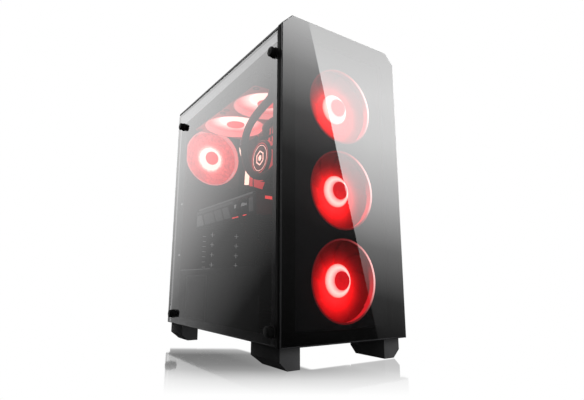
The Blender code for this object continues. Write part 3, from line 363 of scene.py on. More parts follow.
BORE_PAINTED_LIGHT = [
    (0.6, (0.03, 0.0, 0.001)), (0.76, (0.1, 0.001, 0.002)), (0.86, (0.55, 0.008, 0.012)),
    (0.93, (1.0, 0.02, 0.03)),
]
LIP_PAINTED_HIGHLIGHT = [
    (0.3, (0.06, 0.003, 0.004)), (0.55, (0.12, 0.012, 0.014)), (0.68, (0.3, 0.06, 0.06)),
    (0.78, (0.7, 0.28, 0.27)), (0.85, (1.0, 0.5, 0.48)),
]
# Blades and hub caps with painted glow from the collars' LEDs; the collar's glow is its LEDs' own.
FRONT_BLADE = lit_from_hub("red_blade", (0.5, 0.005, 0.008), 2.5, FRONT_BLADE_PAINTED_GLOW, 0.1, (0.47, 0.57))
FRONT_COLLAR = lit_from_hub("fan_collar", (0.6, 0.3, 0.3), 2.8, FRONT_COLLAR_GLOW, 0.1)
REAR_BLADE = lit_from_hub("red_blade_bright_painted_glow", (0.75, 0.05, 0.06), 3.0, REAR_BLADE_PAINTED_GLOW, 0.75, speck=300.0)
TOP_BLADE = lit_from_hub("red_blade_pale_painted_glow", (0.75, 0.1, 0.1), 3.2, TOP_BLADE_PAINTED_GLOW, 0.1)
FRONT_HUB = lit_from_hub(
    "red_hub", (0.35, 0.008, 0.012), 1.5, [(0.0, (0.8, 0.006, 0.01)), (0.3, (1.0, 0.01, 0.02))]
)
INNER_HUB = lit_from_hub(
    "red_hub_painted_glow", (0.5, 0.02, 0.025), 0.9, [(0.0, (0.8, 0.05, 0.07)), (0.3, (0.7, 0.05, 0.07))]
)
# Painted light on the front fans' bore walls, and a painted highlight along their lips.
BORE_WALL = lit_wall("fan_bore_painted_light", (0.8, 0.6), 1.35, BORE_PAINTED_LIGHT)
BORE_LIP = lit_wall("fan_lip_painted_highlight", (1.25, -0.31), 2.4, LIP_PAINTED_HIGHLIGHT)


# --- Shapes ---


def in_space(across, along, axis):
    """The case point for a place across an axis and one along it."""
    point = list(across)
    point.insert("XYZ".index(axis), along)
    return Vector(point)


def on_circle(centre, radius, angle):
    return (centre[0] + radius * math.cos(angle), centre[1] + radius * math.sin(angle))


def circle(centre, radius, sides, turn=0.0):
    """The corners of a regular polygon."""
    return [on_circle(centre, radius, turn + 2 * math.pi * i / sides) for i in range(sides)]


def rectangle(x, y):
    return [(x[0], y[0]), (x[1], y[0]), (x[1], y[1]), (x[0], y[1])]


def joined(part, low, high):
    """Faces between two rings of vertices."""
    for i in range(len(low)):
        j = (i + 1) % len(low)
        part.faces.new((low[i], high[i], high[j], low[j]))


def fill_between(part, loops):
    """A flat face inside the first loop of vertices and outside the others."""
    edges = []
    for loop in loops:
        edges += [part.edges.new((loop[i], loop[(i + 1) % len(loop)])) for i in range(len(loop))]
    bmesh.ops.triangle_fill(part, edges=edges, use_beauty=True, use_dissolve=False)


class Shape:
    """Parts gathered in case millimetres, each with its look, and then made into one piece."""

    def __init__(self):
        self.vertices, self.faces, self.indices = [], [], []
        self.looks = []
        self.uvs = {}

    def index_of(self, look):
        if look not in self.looks:
            self.looks.append(look)
        return self.looks.index(look)

    def add(self, part, look, rounding=0.0, place=None, turn_out=True):
        """Takes in a bmesh, with its faces turned outwards and its edges rounded by this much."""
        if turn_out:
            bmesh.ops.recalc_face_normals(part, faces=part.faces)
        if rounding:
            edges = [e for e in part.edges if len(e.link_faces) == 2 and e.calc_face_angle() > 0.6]
            settings = {"segments": 2, "profile": 0.6, "affect": "EDGES", "clamp_overlap": True}
            bmesh.ops.bevel(part, geom=edges, offset=rounding, **settings)
        index, start = self.index_of(look), len(self.vertices)
        part.verts.index_update()
        self.vertices += [(place @ v.co) if place else v.co.copy() for v in part.verts]
        self.faces += [[start + v.index for v in face.verts] for face in part.faces]
        self.indices += [index] * len(part.faces)
        part.free()

    def solid(self, vertices, faces, look, rounding=0.0, place=None):
        part = bmesh.new()
        made = [part.verts.new(v) for v in vertices]
        for face in faces:
            part.faces.new([made[i] for i in face])
        self.add(part, look, rounding, place)

    def prism(self, outline, axis, start, end, look, rounding=0.0, place=None):
        count = len(outline)
        vertices = [in_space(p, along, axis) for along in (start, end) for p in outline]
        faces = [tuple(range(count)), tuple(range(2 * count - 1, count - 1, -1))]
        faces += [(i, i + count, (i + 1) % count + count, (i + 1) % count) for i in range(count)]
        self.solid(vertices, faces, look, rounding, place)

    def box(self, x, y, z, look, rounding=0.0, place=None):
        self.prism(rectangle(x, y), "Z", z[0], z[1], look, rounding, place)

    def turned(self, profile, centre, axis, look, sides=32, place=None, closed=False):
        """A solid of revolution from (along, radius) pairs; a closed one is a ring."""
        rings = [(along, circle(centre, radius, sides)) for along, radius in profile]
        vertices = [in_space(p, along, axis) for along, ring in rings for p in ring]
        faces, count = [], len(profile)
        for ring in range(count if closed else count - 1):
            low, high = ring * sides, ((ring + 1) % count) * sides
            around = [(i, (i + 1) % sides) for i in range(sides)]
            faces += [(low + i, high + i, high + j, low + j) for i, j in around]
        if not closed:
            faces += [tuple(range(sides)), tuple(range(count * sides - 1, (count - 1) * sides - 1, -1))]
        self.solid(vertices, faces, look, 0.0, place)

    def ring(self, centre, inner, outer, axis, start, end, look, sides=48, place=None):
        profile = [(start, inner), (start, outer), (end, outer), (end, inner)]
        self.turned(profile, centre, axis, look, sides, place, closed=True)

    def drum(self, centre, radius, axis, start, end, look, sides, edge, place=None):
        """A cylinder with slanted edges."""
        profile = [(start, radius - edge), (start + edge, radius), (end - edge, radius), (end, radius - edge)]
        self.turned(profile, centre, axis, look, sides, place)

    def cross(self, centre, axis, start, end, reach, half_width, look):
        """Two crossed bars, as the cut of a screw's drive; a dark look on them is painted shade in the cut.
        """
        for wide, tall in ((reach, half_width), (half_width, reach)):
            x, y = [(middle - half, middle + half) for middle, half in zip(centre, (wide, tall))]
            self.prism(rectangle(x, y), axis, start, end, look)

    def screw(self, centre, axis, face, way, radius, look):
        """A small pan-head screw standing on a face, with a cross cut in it."""
        top = face + way * radius * 0.45
        profile = [(face, radius), (face + way * radius * 0.25, radius * 0.96), (top, radius * 0.55)]
        self.turned(profile, centre, axis, look, 16)
        # Dark cross: painted shade in the drive's cut.
        self.cross(centre, axis, top - way * 0.2, top + way * 0.06, radius * 0.42, radius * 0.1, RUBBER)

    def node(self, name, look, rounding=0.0):
        """Takes in a CAD node's own mesh."""
        part = bmesh.new()
        part.from_mesh(frame["nodes"][name].data)
        bmesh.ops.remove_doubles(part, verts=part.verts, dist=0.000001)
        flat = [e for e in part.edges if len(e.link_faces) == 2 and e.calc_face_angle() < 0.002]
        bmesh.ops.dissolve_edges(part, edges=flat, use_verts=False)
        to_case = Matrix.Scale(1 / MM, 4) @ Matrix.Translation(-CASE_ORIGIN)
        bmesh.ops.transform(part, matrix=to_case, verts=part.verts)
        self.add(part, look, rounding)

    def tube(self, route, radius, look, sides):
        """A round tube along a route, with a UV of metres along and around it."""
        route = [Vector(place) for place in route]
        index, first, side, travelled, lengths = self.index_of(look), len(self.vertices), None, 0.0, []
        for i, point in enumerate(route):
            ahead = heading(route, i)
            if side is None:
                level = Vector((0, 0, 1)) if abs(ahead.z) < 0.9 else Vector((1, 0, 0))
                side = ahead.cross(level).normalized()
            side = (side - ahead * side.dot(ahead)).normalized()
            up = ahead.cross(side)
            travelled += (point - route[max(i - 1, 0)]).length
            lengths.append(travelled * MM)
            for across, over in circle((0, 0), radius, sides):
                self.vertices.append(point + side * across + up * over)
        around = 2 * math.pi * radius / sides * MM
        for i in range(len(route) - 1):
            for k in range(sides):
                low, high, j = first + i * sides, first + (i + 1) * sides, (k + 1) % sides
                u, v = lengths[i : i + 2], (k * around, (k + 1) * around)
                self.uvs[len(self.faces)] = [(u[0], v[0]), (u[0], v[1]), (u[1], v[1]), (u[1], v[0])]
                self.faces.append([low + k, low + j, high + j, high + k])
        last = first + (len(route) - 1) * sides
        self.faces += [[first + k for k in reversed(range(sides))], [last + k for k in range(sides)]]
        self.indices += [index] * ((len(route) - 1) * sides + 2)

    def spread_uv(self, first, place, half):
        """Gives the faces from the first one on a UV that spans a square frame, as seen along its axis."""
        back = place.inverted()
        for index in range(first, len(self.faces)):
            corners = [back @ self.vertices[i] for i in self.faces[index]]
            self.uvs[index] = [(0.5 + c.x / (2 * half), 0.5 + c.y / (2 * half)) for c in corners]

    def piece(self, name, node, slot):
        """The finished object, riding on its CAD node's body in the node's place."""
        mesh = bpy.data.meshes.new(name)
        mesh.from_pydata([CASE_ORIGIN + v * MM for v in self.vertices], [], self.faces)
        for look in self.looks:
            mesh.materials.append(look.material)
        mesh.polygons.foreach_set("material_index", self.indices)
        if self.uvs:
            layer = mesh.uv_layers.new(name="UVMap")
            for face, corners in self.uvs.items():
                for loop, corner in zip(mesh.polygons[face].loop_indices, corners):
                    layer.data[loop].uv = corner
        mesh.validate()
        mesh.shade_smooth()
        mesh.set_sharp_from_angle(angle=math.radians(35.0))
        thing = bpy.data.objects.new(name, mesh)
        bpy.context.scene.collection.objects.link(thing)
        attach(thing, NODE_BODY[node])
        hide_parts(node)


def refine(node, look, slot, rounding=0.3, extra=None):
    """A CAD node's shape with rounded edges and more detail, in place of the node."""
    shape = Shape()
    shape.node(node, look, rounding)
    if extra:
        extra(shape)
    shape.piece(node + "_finished", node, slot)


def rows(start, end, pitch):
    """Evenly spaced places from start to end."""
    return [start + pitch * i for i in range(int((end - start) / pitch + 0.001) + 1)]


def heading(route, i):
    """The way that a route runs at one of its points."""
    return (route[min(i + 1, len(route) - 1)] - route[max(i - 1, 0)]).normalized()


def smooth_route(places, step):
    """Points every step or so along a Catmull-Rom curve through the places."""
    points = [Vector(p) for p in places]
    points = [2 * points[0] - points[1]] + points + [2 * points[-1] - points[-2]]
    result = []
    for i in range(1, len(points) - 2):
        before, start, end, after = points[i - 1 : i + 3]
        count = max(1, round((end - start).length / step))
        for k in range(count):
            t = k / count
            bend = (2 * before - 5 * start + 4 * end - after) * t**2
            twist = (3 * start - before - 3 * end + after) * t**3
            result.append(0.5 * (2 * start + (end - before) * t + bend + twist))
    result.append(points[-2])
    return result


# --- Camera ---

YAW, PITCH, ROLL = math.radians(33.4), math.radians(11.92), math.radians(0.29)
CAMERA_PLACE = Vector((-0.3778, -0.6235, 0.1016))

LENS = 26.27
SHIFT = (0.0148, -0.0138)


def make_camera():
    """A wide-angle view from the left front, a little above the floor and tipped up."""
    ahead = Vector((math.sin(YAW) * math.cos(PITCH), math.cos(YAW) * math.cos(PITCH), math.sin(PITCH)))
    right = Vector((math.cos(YAW), -math.sin(YAW), 0.0))
    up = right.cross(ahead)
    tipped_right = right * math.cos(ROLL) + up * math.sin(ROLL)
    tipped_up = up * math.cos(ROLL) - right * math.sin(ROLL)
    data = bpy.data.cameras.new("camera")
    data.lens = LENS
    data.shift_x, data.shift_y = SHIFT
    data.clip_start = 0.01
    camera = bpy.data.objects.new("camera", data)
    bpy.context.scene.collection.objects.link(camera)
    turn = Matrix((tipped_right, tipped_up, -ahead)).transposed().to_4x4()
    camera.matrix_world = Matrix.Translation(CAMERA_PLACE) @ turn
    bpy.context.scene.camera = camera


# --- Studio ---

FLOOR_REACH = 6.0
# The way the camera looks along the floor, and how far it stands back from the middle of the floor.
LOOK_ALONG = (0.5505, 0.8348)
STANDS_BACK = 0.7285
# How much the floor mirrors, by the distance ahead of the camera, and across a strip that has the case's
# left side in its middle.
MIRROR_AHEAD = [
    (0.42, 0.0), (0.44, 0.09), (0.482, 0.3), (0.507, 0.485), (0.534, 0.68), (0.565, 0.77), (0.6, 0.8),
    (0.64, 0.82), (0.685, 0.6), (0.705, 0.0),
]
MIRROR_ACROSS = [(0.1, 0.0), (0.2, 1.0), (0.5, 1.0), (0.6, 0.85), (0.72, 0.6), (0.91, 0.6), (0.96, 0.0)]
MIRROR_WIDTH = 0.5
# The cards' brightness in a pane, from low to high.
SIDE_CARD = [(-0.3, 0.012), (-0.12, 0.06), (0.0, 0.27), (0.12, 0.5), (0.28, 1.22), (0.45, 1.9), (0.55, 2.08)]
FRONT_LEFT_CARD = [
    (-0.15, 0.004), (0.16, 0.032), (0.3, 0.095), (0.39, 0.32), (0.47, 1.02), (0.54, 2.15), (0.6, 2.45),
]
FRONT_RIGHT_CARD = [
    (-0.15, 0.02), (-0.04, 0.14), (0.07, 0.68), (0.18, 1.9), (0.3, 2.9), (0.38, 3.1), (0.5, 2.45),
]


def make_floor():
    """A white floor that shows a mirror image of the case close by, fading outwards, and none under it."""
    mesh = bpy.data.meshes.new("floor")
    reach = (-FLOOR_REACH, FLOOR_REACH)
    mesh.from_pydata([(*p, 0) for p in rectangle(reach, reach)], [], [(0, 1, 2, 3)])
    floor = bpy.data.objects.new("floor", mesh)
    bpy.context.scene.collection.objects.link(floor)
    look = Look("white_floor", (1.0, 1.0, 1.0), 0.06, 1.0)
    parts = look.node("SeparateXYZ")
    look.put(parts.inputs["Vector"], look.place)
    x, y = parts.outputs["X"], parts.outputs["Y"]
    sideways, onwards = [look.maths("MULTIPLY", along, share) for along, share in zip((x, y), LOOK_ALONG)]
    ahead = look.maths("ADD", look.maths("ADD", sideways, onwards), STANDS_BACK)
    inwards = look.maths("SUBTRACT", x, CASE_ORIGIN.x)
    left_edge = CASE_ORIGIN.x - MIRROR_WIDTH / 2
    across = look.maths("DIVIDE", look.maths("SUBTRACT", x, left_edge), MIRROR_WIDTH)
    under_left = look.ramp(inwards, [(0.044, 0.0), (0.05, 1.0)])
    under_front = look.ramp(look.maths("SUBTRACT", y, CASE_ORIGIN.y), [(0.003, 0.0), (0.007, 1.0)])
    open_floor = look.maths("SUBTRACT", 1.0, look.maths("MULTIPLY", under_left, under_front))
    mirrored = look.maths("MULTIPLY", look.ramp(ahead, MIRROR_AHEAD), look.ramp(across, MIRROR_ACROSS))
    white = look.node("Emission")
    white.inputs["Strength"].default_value = 1.0
    look.share(look.maths("MULTIPLY", mirrored, open_floor), white.outputs["Emission"])
    mesh.materials.append(look.material)
    floor.visible_glossy = False
    floor.visible_diffuse = False


class Sky(Nodes):
    """The world: white behind everything, and a studio of soft cards for light and reflections."""

    def __init__(self):
        world = bpy.data.worlds.new("studio")
        bpy.context.scene.world = world
        world.use_nodes = True
        super().__init__(world.node_tree)
        self.tree.nodes.clear()
        self.direction = self.node("TexCoord").outputs["Generated"]

    def along(self, *way):
        """How far the direction points along a way."""
        return self.vector("DOT_PRODUCT", self.direction, way)

    def towards(self, *way):
        """One where the direction points along a way, and nought elsewhere."""
        return self.maths("GREATER_THAN", self.along(*way), 0.0)

    def curve(self, value, stops, shift=0.0):
        """A brightness along a shifted value, from (place, brightness) pairs."""
        low, width = stops[0][0], stops[-1][0] - stops[0][0]
        peak = max(b for _, b in stops)
        spread = self.maths("DIVIDE", self.maths("SUBTRACT", value, low + shift), width)
        stops = [((place - low) / width, bright / peak) for place, bright in stops]
        return self.maths("MULTIPLY", self.ramp(spread, stops), peak)

    def choose(self, switch, off, on):
        dark = self.maths("MULTIPLY", self.maths("SUBTRACT", 1.0, switch), off)
        return self.maths("ADD", dark, self.maths("MULTIPLY", switch, on))


def make_sky():
    """Cards as the panes see them: a tall soft one beyond the side, and a slanted one beyond the front."""
    sky = Sky()
    height, tipped = sky.along(0.0, 0.0, 1.0), sky.along(0.4, 0.0, 1.0)
    side = sky.curve(sky.along(1.66, 0.0, 1.0), SIDE_CARD, -0.727)
    left, right = sky.curve(tipped, FRONT_LEFT_CARD, 0.212), sky.curve(tipped, FRONT_RIGHT_CARD, 0.292)
    front = sky.choose(sky.towards(0.705, 0.685, 0.183), left, right)
    faces_right = sky.towards(1.0, 0.0, 0.0)
    plain = sky.curve(height, [(-0.3, 0.03), (0.0, 0.25), (0.4, 0.9), (1.0, 1.3)])
    seen = sky.choose(sky.towards(-1.0, 0.0, 0.0), plain, side)
    seen = sky.choose(sky.maths("MULTIPLY", sky.towards(0.0, -1.0, 0.0), faces_right), seen, front)
    same_way = sky.maths("MULTIPLY", sky.along(0.0, 1.0, 0.0), sky.along(1.0, 0.0, 0.0))
    white = sky.curve(height, [(-0.3, 0.03), (-0.02, 0.25), (0.02, 1.0), (0.1, 1.0)])
    seen = sky.choose(sky.maths("GREATER_THAN", same_way, 0.0), seen, white)
    ambient = sky.curve(sky.along(0.7, -0.65, 0.3), [(-1.0, 0.0), (-0.25, 0.04), (0.3, 0.45), (1.0, 1.25)])
    path = sky.node("LightPath")
    light = sky.choose(path.outputs["Is Glossy Ray"], ambient, seen)
    background = sky.node("Background")
    background.inputs["Color"].default_value = (1.0, 1.0, 1.0, 1.0)
    sky.put(background.inputs["Strength"], sky.choose(path.outputs["Is Camera Ray"], light, 1.0))
    sky.put(sky.node("OutputWorld").inputs["Surface"], background.outputs["Background"])


def lamp(name, place, size, power, colour=(1.0, 1.0, 1.0), towards=None):
    """A round area lamp, or a soft point lamp where it has nothing to face."""
    data = bpy.data.lights.new(name, "POINT" if towards is None else "AREA")
    data.energy = power
    data.color = colour
    light = bpy.data.objects.new(name, data)
    light.location = place
    bpy.context.scene.collection.objects.link(light)
    if towards is None:
        data.shadow_soft_size = size
    else:
        data.shape = "DISK"
        data.size = size
        light.rotation_mode = "QUATERNION"
        light.rotation_quaternion = (Vector(towards) - Vector(place)).to_track_quat("-Z", "Y")
    light.visible_camera = False
    light.visible_glossy = False


def make_studio():
    bpy.context.scene.view_settings.view_transform = "Standard"
    make_sky()
    make_floor()
    for name, place, power in (
        ("key", (0.3, -1.7, 1.3), 8.0),
        ("fill", (1.4, -0.5, 0.9), 5.0),
        ("rear", (0.5, 1.7, 1.1), 8.0),
    ):
        lamp(name, place, 1.2, power, towards=(0, 0, 0.2))


# --- Panes ---

CASE_WIDTH = 210.0
FRONT_HEIGHT = 430.0
CORNER_CUT = 16.5
SCREW_PLACES = {
    "front_top": (17.5, 376.0),
    "front_bottom": (17.5, 18.0),
    "rear_top": (356.5, 376.0),
    "rear_bottom": (356.5, 18.0),
}
HOLE_SIDES = 24


def pane(node, outline, axis, look, edge_look, edge, holes=()):
    """A sheet of glass with polished edges: clear faces, and a narrow bevel round them."""
    shape = Shape()
    low, high = [corner["XYZ".index(axis)] for corner in span(node)]
    inner = [offset_point(outline, i, edge) for i in range(len(outline))]
    rim, rings = bmesh.new(), []
    for points, along in ((inner, low), (outline, low + edge), (outline, high - edge), (inner, high)):
        rings.append([rim.verts.new(in_space(p, along, axis)) for p in points])
    for near, far in zip(rings, rings[1:]):
        joined(rim, near, far)
    shape.add(rim, edge_look)
    bores = [circle(centre, radius, HOLE_SIDES) for centre, radius in holes]
    for along, outward in ((low, -1.0), (high, 1.0)):
        sheet = bmesh.new()
        loops = [[sheet.verts.new(in_space(p, along, axis)) for p in loop] for loop in [inner] + bores]
        fill_between(sheet, loops)
        for face in sheet.faces:
            face.normal_update()
            if face.normal["XYZ".index(axis)] * outward < 0:
                face.normal_flip()
        shape.add(sheet, look, turn_out=False)
    for bore in bores:
        wall = bmesh.new()
        joined(wall, *[[wall.verts.new(in_space(p, along, axis)) for p in bore] for along in (low, high)])
        shape.add(wall, edge_look, turn_out=False)
    shape.piece(node + "_pane", node, "tinted_glass")


def offset_point(outline, i, distance):
    """A corner moved inwards by the same distance from both its sides."""
    before, here, after = (Vector(outline[(i + k) % len(outline)]) for k in (-1, 0, 1))
    centre = sum((Vector(p) for p in outline), Vector((0, 0))) / len(outline)
    normals = []
    for start, end in ((before, here), (here, after)):
        along = (end - start).normalized()
        normal = Vector((-along.y, along.x))
        normals.append(-normal if normal.dot(centre - start) < 0 else normal)
    joint = (normals[0] + normals[1]).normalized()
    moved = here + joint * distance / joint.dot(normals[0])
    return (moved.x, moved.y)


def make_panes():
    """The front, a tall rectangle with its upper corners cut off, and the side with its four holes."""
    shoulder, far = FRONT_HEIGHT - CORNER_CUT, CASE_WIDTH - CORNER_CUT
    front = [(0, 0), (CASE_WIDTH, 0), (CASE_WIDTH, shoulder)]
    front += [(far, FRONT_HEIGHT), (CORNER_CUT, FRONT_HEIGHT), (0, shoulder)]
    pane("front_glass", front, "Y", FRONT_PANE, FRONT_EDGE, 1.0)
    low, high = span("left_glass")
    outline = rectangle((low.y, high.y), (low.z, high.z))
    holes = [(place, 4.0) for place in SCREW_PLACES.values()]
    pane("left_glass", outline, "X", SIDE_PANE, SIDE_EDGE, 0.7, holes)


# --- Shell ---


def make_shell():
    refine("front_bezel", BEZEL, "black_plastic", 0.4)
    for node, look, rounding, extra in (
        ("chassis_top", STEEL, 0.25, roof_details),
        ("chassis_bottom", STEEL, 0.15, None),
        ("chassis_rear", STEEL, 0.15, rear_details),
        # The inner walls take the darker coat, as painted shade.
        ("chassis_front", DARK_COAT_AND_PAINTED_SHADE, 0.15, None),
        ("motherboard_tray", DARK_COAT_AND_PAINTED_SHADE, 0.15, tray_details),
        ("psu_shroud", DARK_COAT_AND_PAINTED_SHADE, 0.15, shroud_details),
        ("drive_cage", DARK_COAT_AND_PAINTED_SHADE, 0.15, None),
        ("right_panel", STEEL, 0.2, None),
    ):
        refine(node, look, "black_steel", rounding, extra)


def roof_details(shape):
    """The pale hem behind the side glass's upper and rear margins, with a painted glow, and the flange over
    the steel side.
    """
    shape.prism([(13, 396), (386, 384), (386, 407.8), (13, 407.8)], "X", 4.05, 4.3, PALE_PAINTED_GLOW)
    shape.box((4.05, 4.3), (380.5, 386.5), (30, 384), PALE_PAINTED_GLOW)
    shape.box((206.3, 207.8), (14, 386), (408.4, 414), DARK_COAT_AND_PAINTED_SHADE)


def rear_details(shape):
    """Screws of the fan and the power supply, rivets along the wall, and two pale tabs with painted glow on
    the left post.
    """
    outer = 388.0
    for x in (-52.5, 52.5):
        for z in (-52.5, 52.5):
            shape.screw((67.4 + x, 325.6 + z), "Y", outer, 1, 3.6, SCREW)
    for place in ((31.0, 80.0), (171.0, 80.0), (171.0, 8.0), (31.0, 8.0)):
        shape.screw(place, "Y", outer, 1, 3.4, SCREW)
    for z in (122.0, 219.0):
        shape.box((4.1, 4.5), (352, 360), (z, z + 3.0), PALE_PAINTED_GLOW)
    for z in (60.0, 180.0, 300.0):
        shape.turned([(outer, 2.6), (outer + 0.5, 2.3), (outer + 0.8, 1.2)], (12.0, z), "Y", STEEL, 14)


def tray_details(shape):
    """Bridges for cable ties along the tray's front."""
    for z in (120.0, 205.0, 288.0, 372.0):
        shape.box((186.9, 188.6), (88, 96), (z, z + 3), DARK_COAT_AND_PAINTED_SHADE, 0.3)


def shroud_details(shape):
    """The window in the power supply's cover, a painted highlight along the cover's upper edge, and its rows
    of air slots as dark patches of painted shade.
    """
    shape.prism(rectangle((232, 322), (12, 86)), "X", 7.8, 8.05, GREY, 0.1)
    shape.prism(rectangle((235, 319), (15, 83)), "X", 7.7, 7.95, PLASTIC, 0.1)
    shape.box((7.75, 8.05), (222, 384), (94.8, 95.9), PAINTED_HIGHLIGHT)
    # Dark patches of painted shade where the air slots are.
    for x in rows(30, 150, 12.0):
        for y in rows(240, 366, 18.0):
            shape.box((x, x + 6), (y, y + 12), (95.78, 95.85), RUBBER)


# --- Feet, screws, filters, ports ---


def make_feet():
    for place in ("front", "rear"):
        for side in ("left", "right"):
            node = f"foot_{place}_{side}"
            low, high = span(node)

            def pad(shape, low=low, high=high):
                inner, outer = 12.5, 3
                x = (low.x + inner, high.x - outer) if low.x < 100 else (low.x + outer, high.x - inner)
                shape.box(x, (low.y + 5, high.y - 16), (low.z - 0.02, low.z + 1.2), RUBBER, 0.4)

            refine(node, FOOT_PLASTIC, "black_plastic", 1.2, pad)


def knurled(shape, centre, axis, start, end, radius, look, teeth=30, depth=0.35):
    """A knurled grip: ridges round a drum."""
    outline = []
    for i in range(teeth):
        for part, out in ((0.0, 0.0), (0.25, -depth), (0.5, -depth), (0.75, 0.0)):
            outline.append(on_circle(centre, radius + out, 2 * math.pi * (i + part) / teeth))
    shape.prism(outline, axis, start, end, look)


def threaded(shape, centre, axis, start, end):
    """A screw's thread, as a stack of rings."""
    root, crest, pitch, place = 1.55, 1.95, 0.8, start
    profile = [(start, root)]
    while place + pitch < end:
        profile += [(place + pitch * 0.25, root), (place + pitch * 0.5, crest), (place + pitch * 0.75, root)]
        place += pitch
    shape.turned(profile + [(end, root)], centre, axis, SCREW, 20)


def make_screws():
    """Thumbscrews: a knurled drum, dished, with a cross drive; those of the glass have a soft washer."""
    for name, centre in SCREW_PLACES.items():
        shape = Shape()
        knurled(shape, centre, "X", -8.0, -2.3, 6.7, SCREW)
        shape.turned([(-9.0, 5.2), (-8.8, 5.9), (-8.0, 6.25), (-7.9, 6.2)], centre, "X", SCREW, 40)
        washer = [(-2.4, 5.6), (-1.8, 5.9), (-1.75, 7.3), (-1.5, 7.6), (-0.7, 7.6), (-0.4, 7.3)]
        shape.turned(washer, centre, "X", RUBBER, 40)
        # Dark cross: painted shade in the drive's cut.
        shape.cross(centre, "X", -9.03, -8.0, 3.0, 0.6, RUBBER)
        threaded(shape, centre, "X", -0.4, 13.5)
        shape.piece(f"thumbscrew_{name}", "glass_screw_" + name, "black_screw")
    for name, centre in (("top", (199.0, 330.0)), ("bottom", (199.0, 100.0))):
        shape = Shape()
        knurled(shape, centre, "Y", 390.2, 396.2, 5.8, SCREW, 26)
        shape.turned([(389.8, 5.0), (390.2, 5.4), (390.4, 5.4)], centre, "Y", SCREW, 36)
        shape.turned([(396.0, 5.5), (396.6, 5.2), (397.0, 4.6)], centre, "Y", SCREW, 36)
        # Dark cross: painted shade in the drive's cut.
        shape.cross(centre, "Y", 396.0, 397.03, 2.6, 0.5, RUBBER)
        threaded(shape, centre, "Y", 381.0, 389.9)
        shape.piece(f"panel_thumbscrew_{name}", "panel_screw_" + name, "black_screw")


def make_filters():
    for node, sheet_z in (("top_filter", 428.1), ("psu_filter", -1.6)):
        low, high = span(node)

        def weave(shape, low=low, high=high, z=sheet_z):
            back = min(high.y, 384.0)
            shape.box((low.x + 3, high.x - 3), (low.y + 3, back - 3), (z - 0.15, z + 0.15), MESH)

        refine(node, PLASTIC, "filter_mesh", 0.25, weave)


def sockets(shape):
    """The roof strip's sockets with their tongues and contacts, and the rims of the jacks and the button."""
    for x in (76.0, 92.0):
        low, high, wall, z = x, x + 13.2, 0.35, (421.0, 429.05)
        for y in ((32.1, 32.1 + wall), (37.9 - wall, 37.9)):
            shape.box((low, high), y, z, BARE)
        for side in ((low, low + wall), (high - wall, high)):
            shape.box(side, (32.1, 37.9), z, BARE)
        shape.box((x + 1.2, x + 12.0), (34.9, 36.6), (417.0, 428.0), GREY, 0.2)
        for k in range(5):
            shape.box((x + 2.4 + k * 1.9, x + 3.3 + k * 1.9), (34.75, 34.95), (420.0, 427.6), GOLD)
    for x in (112.0, 121.0):
        shape.ring((x, 35.0), 1.8, 3.0, "Z", 428.9, 429.3, BARE, 28)
    shape.ring((136.0, 35.0), 8.4, 9.3, "Z", 428.9, 429.25, GLOSSY, 40)


def make_ports():
    refine("io_panel", PLASTIC, "black_plastic", 0.25, sockets)
    for node, radius in (("power_button", 8.0), ("reset_button", 3.2)):
        low, high = span(node)
        x, y, top = (low.x + high.x) / 2, (low.y + high.y) / 2, high.z
        shape = Shape()
        profile = [(low.z, radius), (top - 0.6, radius)]
        profile += [(top - 0.15, radius - 0.35), (top - 0.25, radius - 1.2)]
        shape.turned(profile + [(top - 0.45, radius * 0.5), (top - 0.5, 0.4)], (x, y), "Z", GLOSSY, 40)
        if node == "power_button":
            shape.ring((x, y), 2.3, 2.8, "Z", top - 0.5, top - 0.3, RED_STRIP, 32)
            shape.box((x - 0.3, x + 0.3), (y + 0.8, y + 3.4), (top - 0.5, top - 0.28), RED_STRIP)
        shape.piece(node + "_cap", node, "button_plastic")


# --- Fans ---

FANS = {
    "front_lower": ((110.0, 12.5, 77.0), "Y"),
    "front_middle": ((110.0, 12.5, 200.5), "Y"),
    "front_upper": ((110.0, 12.5, 324.0), "Y"),
    "rear": ((67.4, 361.6, 325.6), "Y"),
    "top_front": ((82.0, 172.0, 373.0), "Z"),
    "top_rear": ((82.0, 292.4, 373.0), "Z"),
}
FAN_HALF = 60.0
FAN_BORE = 57.5
FRONT_GLOW = 0.008
INNER_GLOW = 0.014
HUB = (0, 0)


def fan_place(centre, axis):
    """From a fan's own frame, with its inlet at zero and its outlet along +Z, to the case's."""
    turn = Matrix.Rotation(math.radians(-90), 4, "X") if axis == "Y" else Matrix.Identity(4)
    return Matrix.Translation(Vector(centre)) @ turn


def rounded_square(half, radius, steps=5):
    """A square outline with rounded corners."""
    points = []
    for quarter, (sx, sy) in enumerate(((1, 1), (-1, 1), (-1, -1), (1, -1))):
        centre = (sx * (half - radius), sy * (half - radius))
        points += [on_circle(centre, radius, math.pi / 2 * (quarter + i / steps)) for i in range(steps + 1)]
    return points


def plate_with_bore(shape, outline, bore, start, end, look, place):
    """A flat plate with one round bore, as a closed shell."""
    part, rings = bmesh.new(), []
    for along in (start, end):
        edges = (outline, circle(HUB, bore, 64))
        loops = [[part.verts.new(Vector((*p, along))) for p in loop] for loop in edges]
        fill_between(part, loops)
        rings.append(loops)
    for low, high in zip(*rings):
        joined(part, low, high)
    shape.add(part, look, 0.0, place)


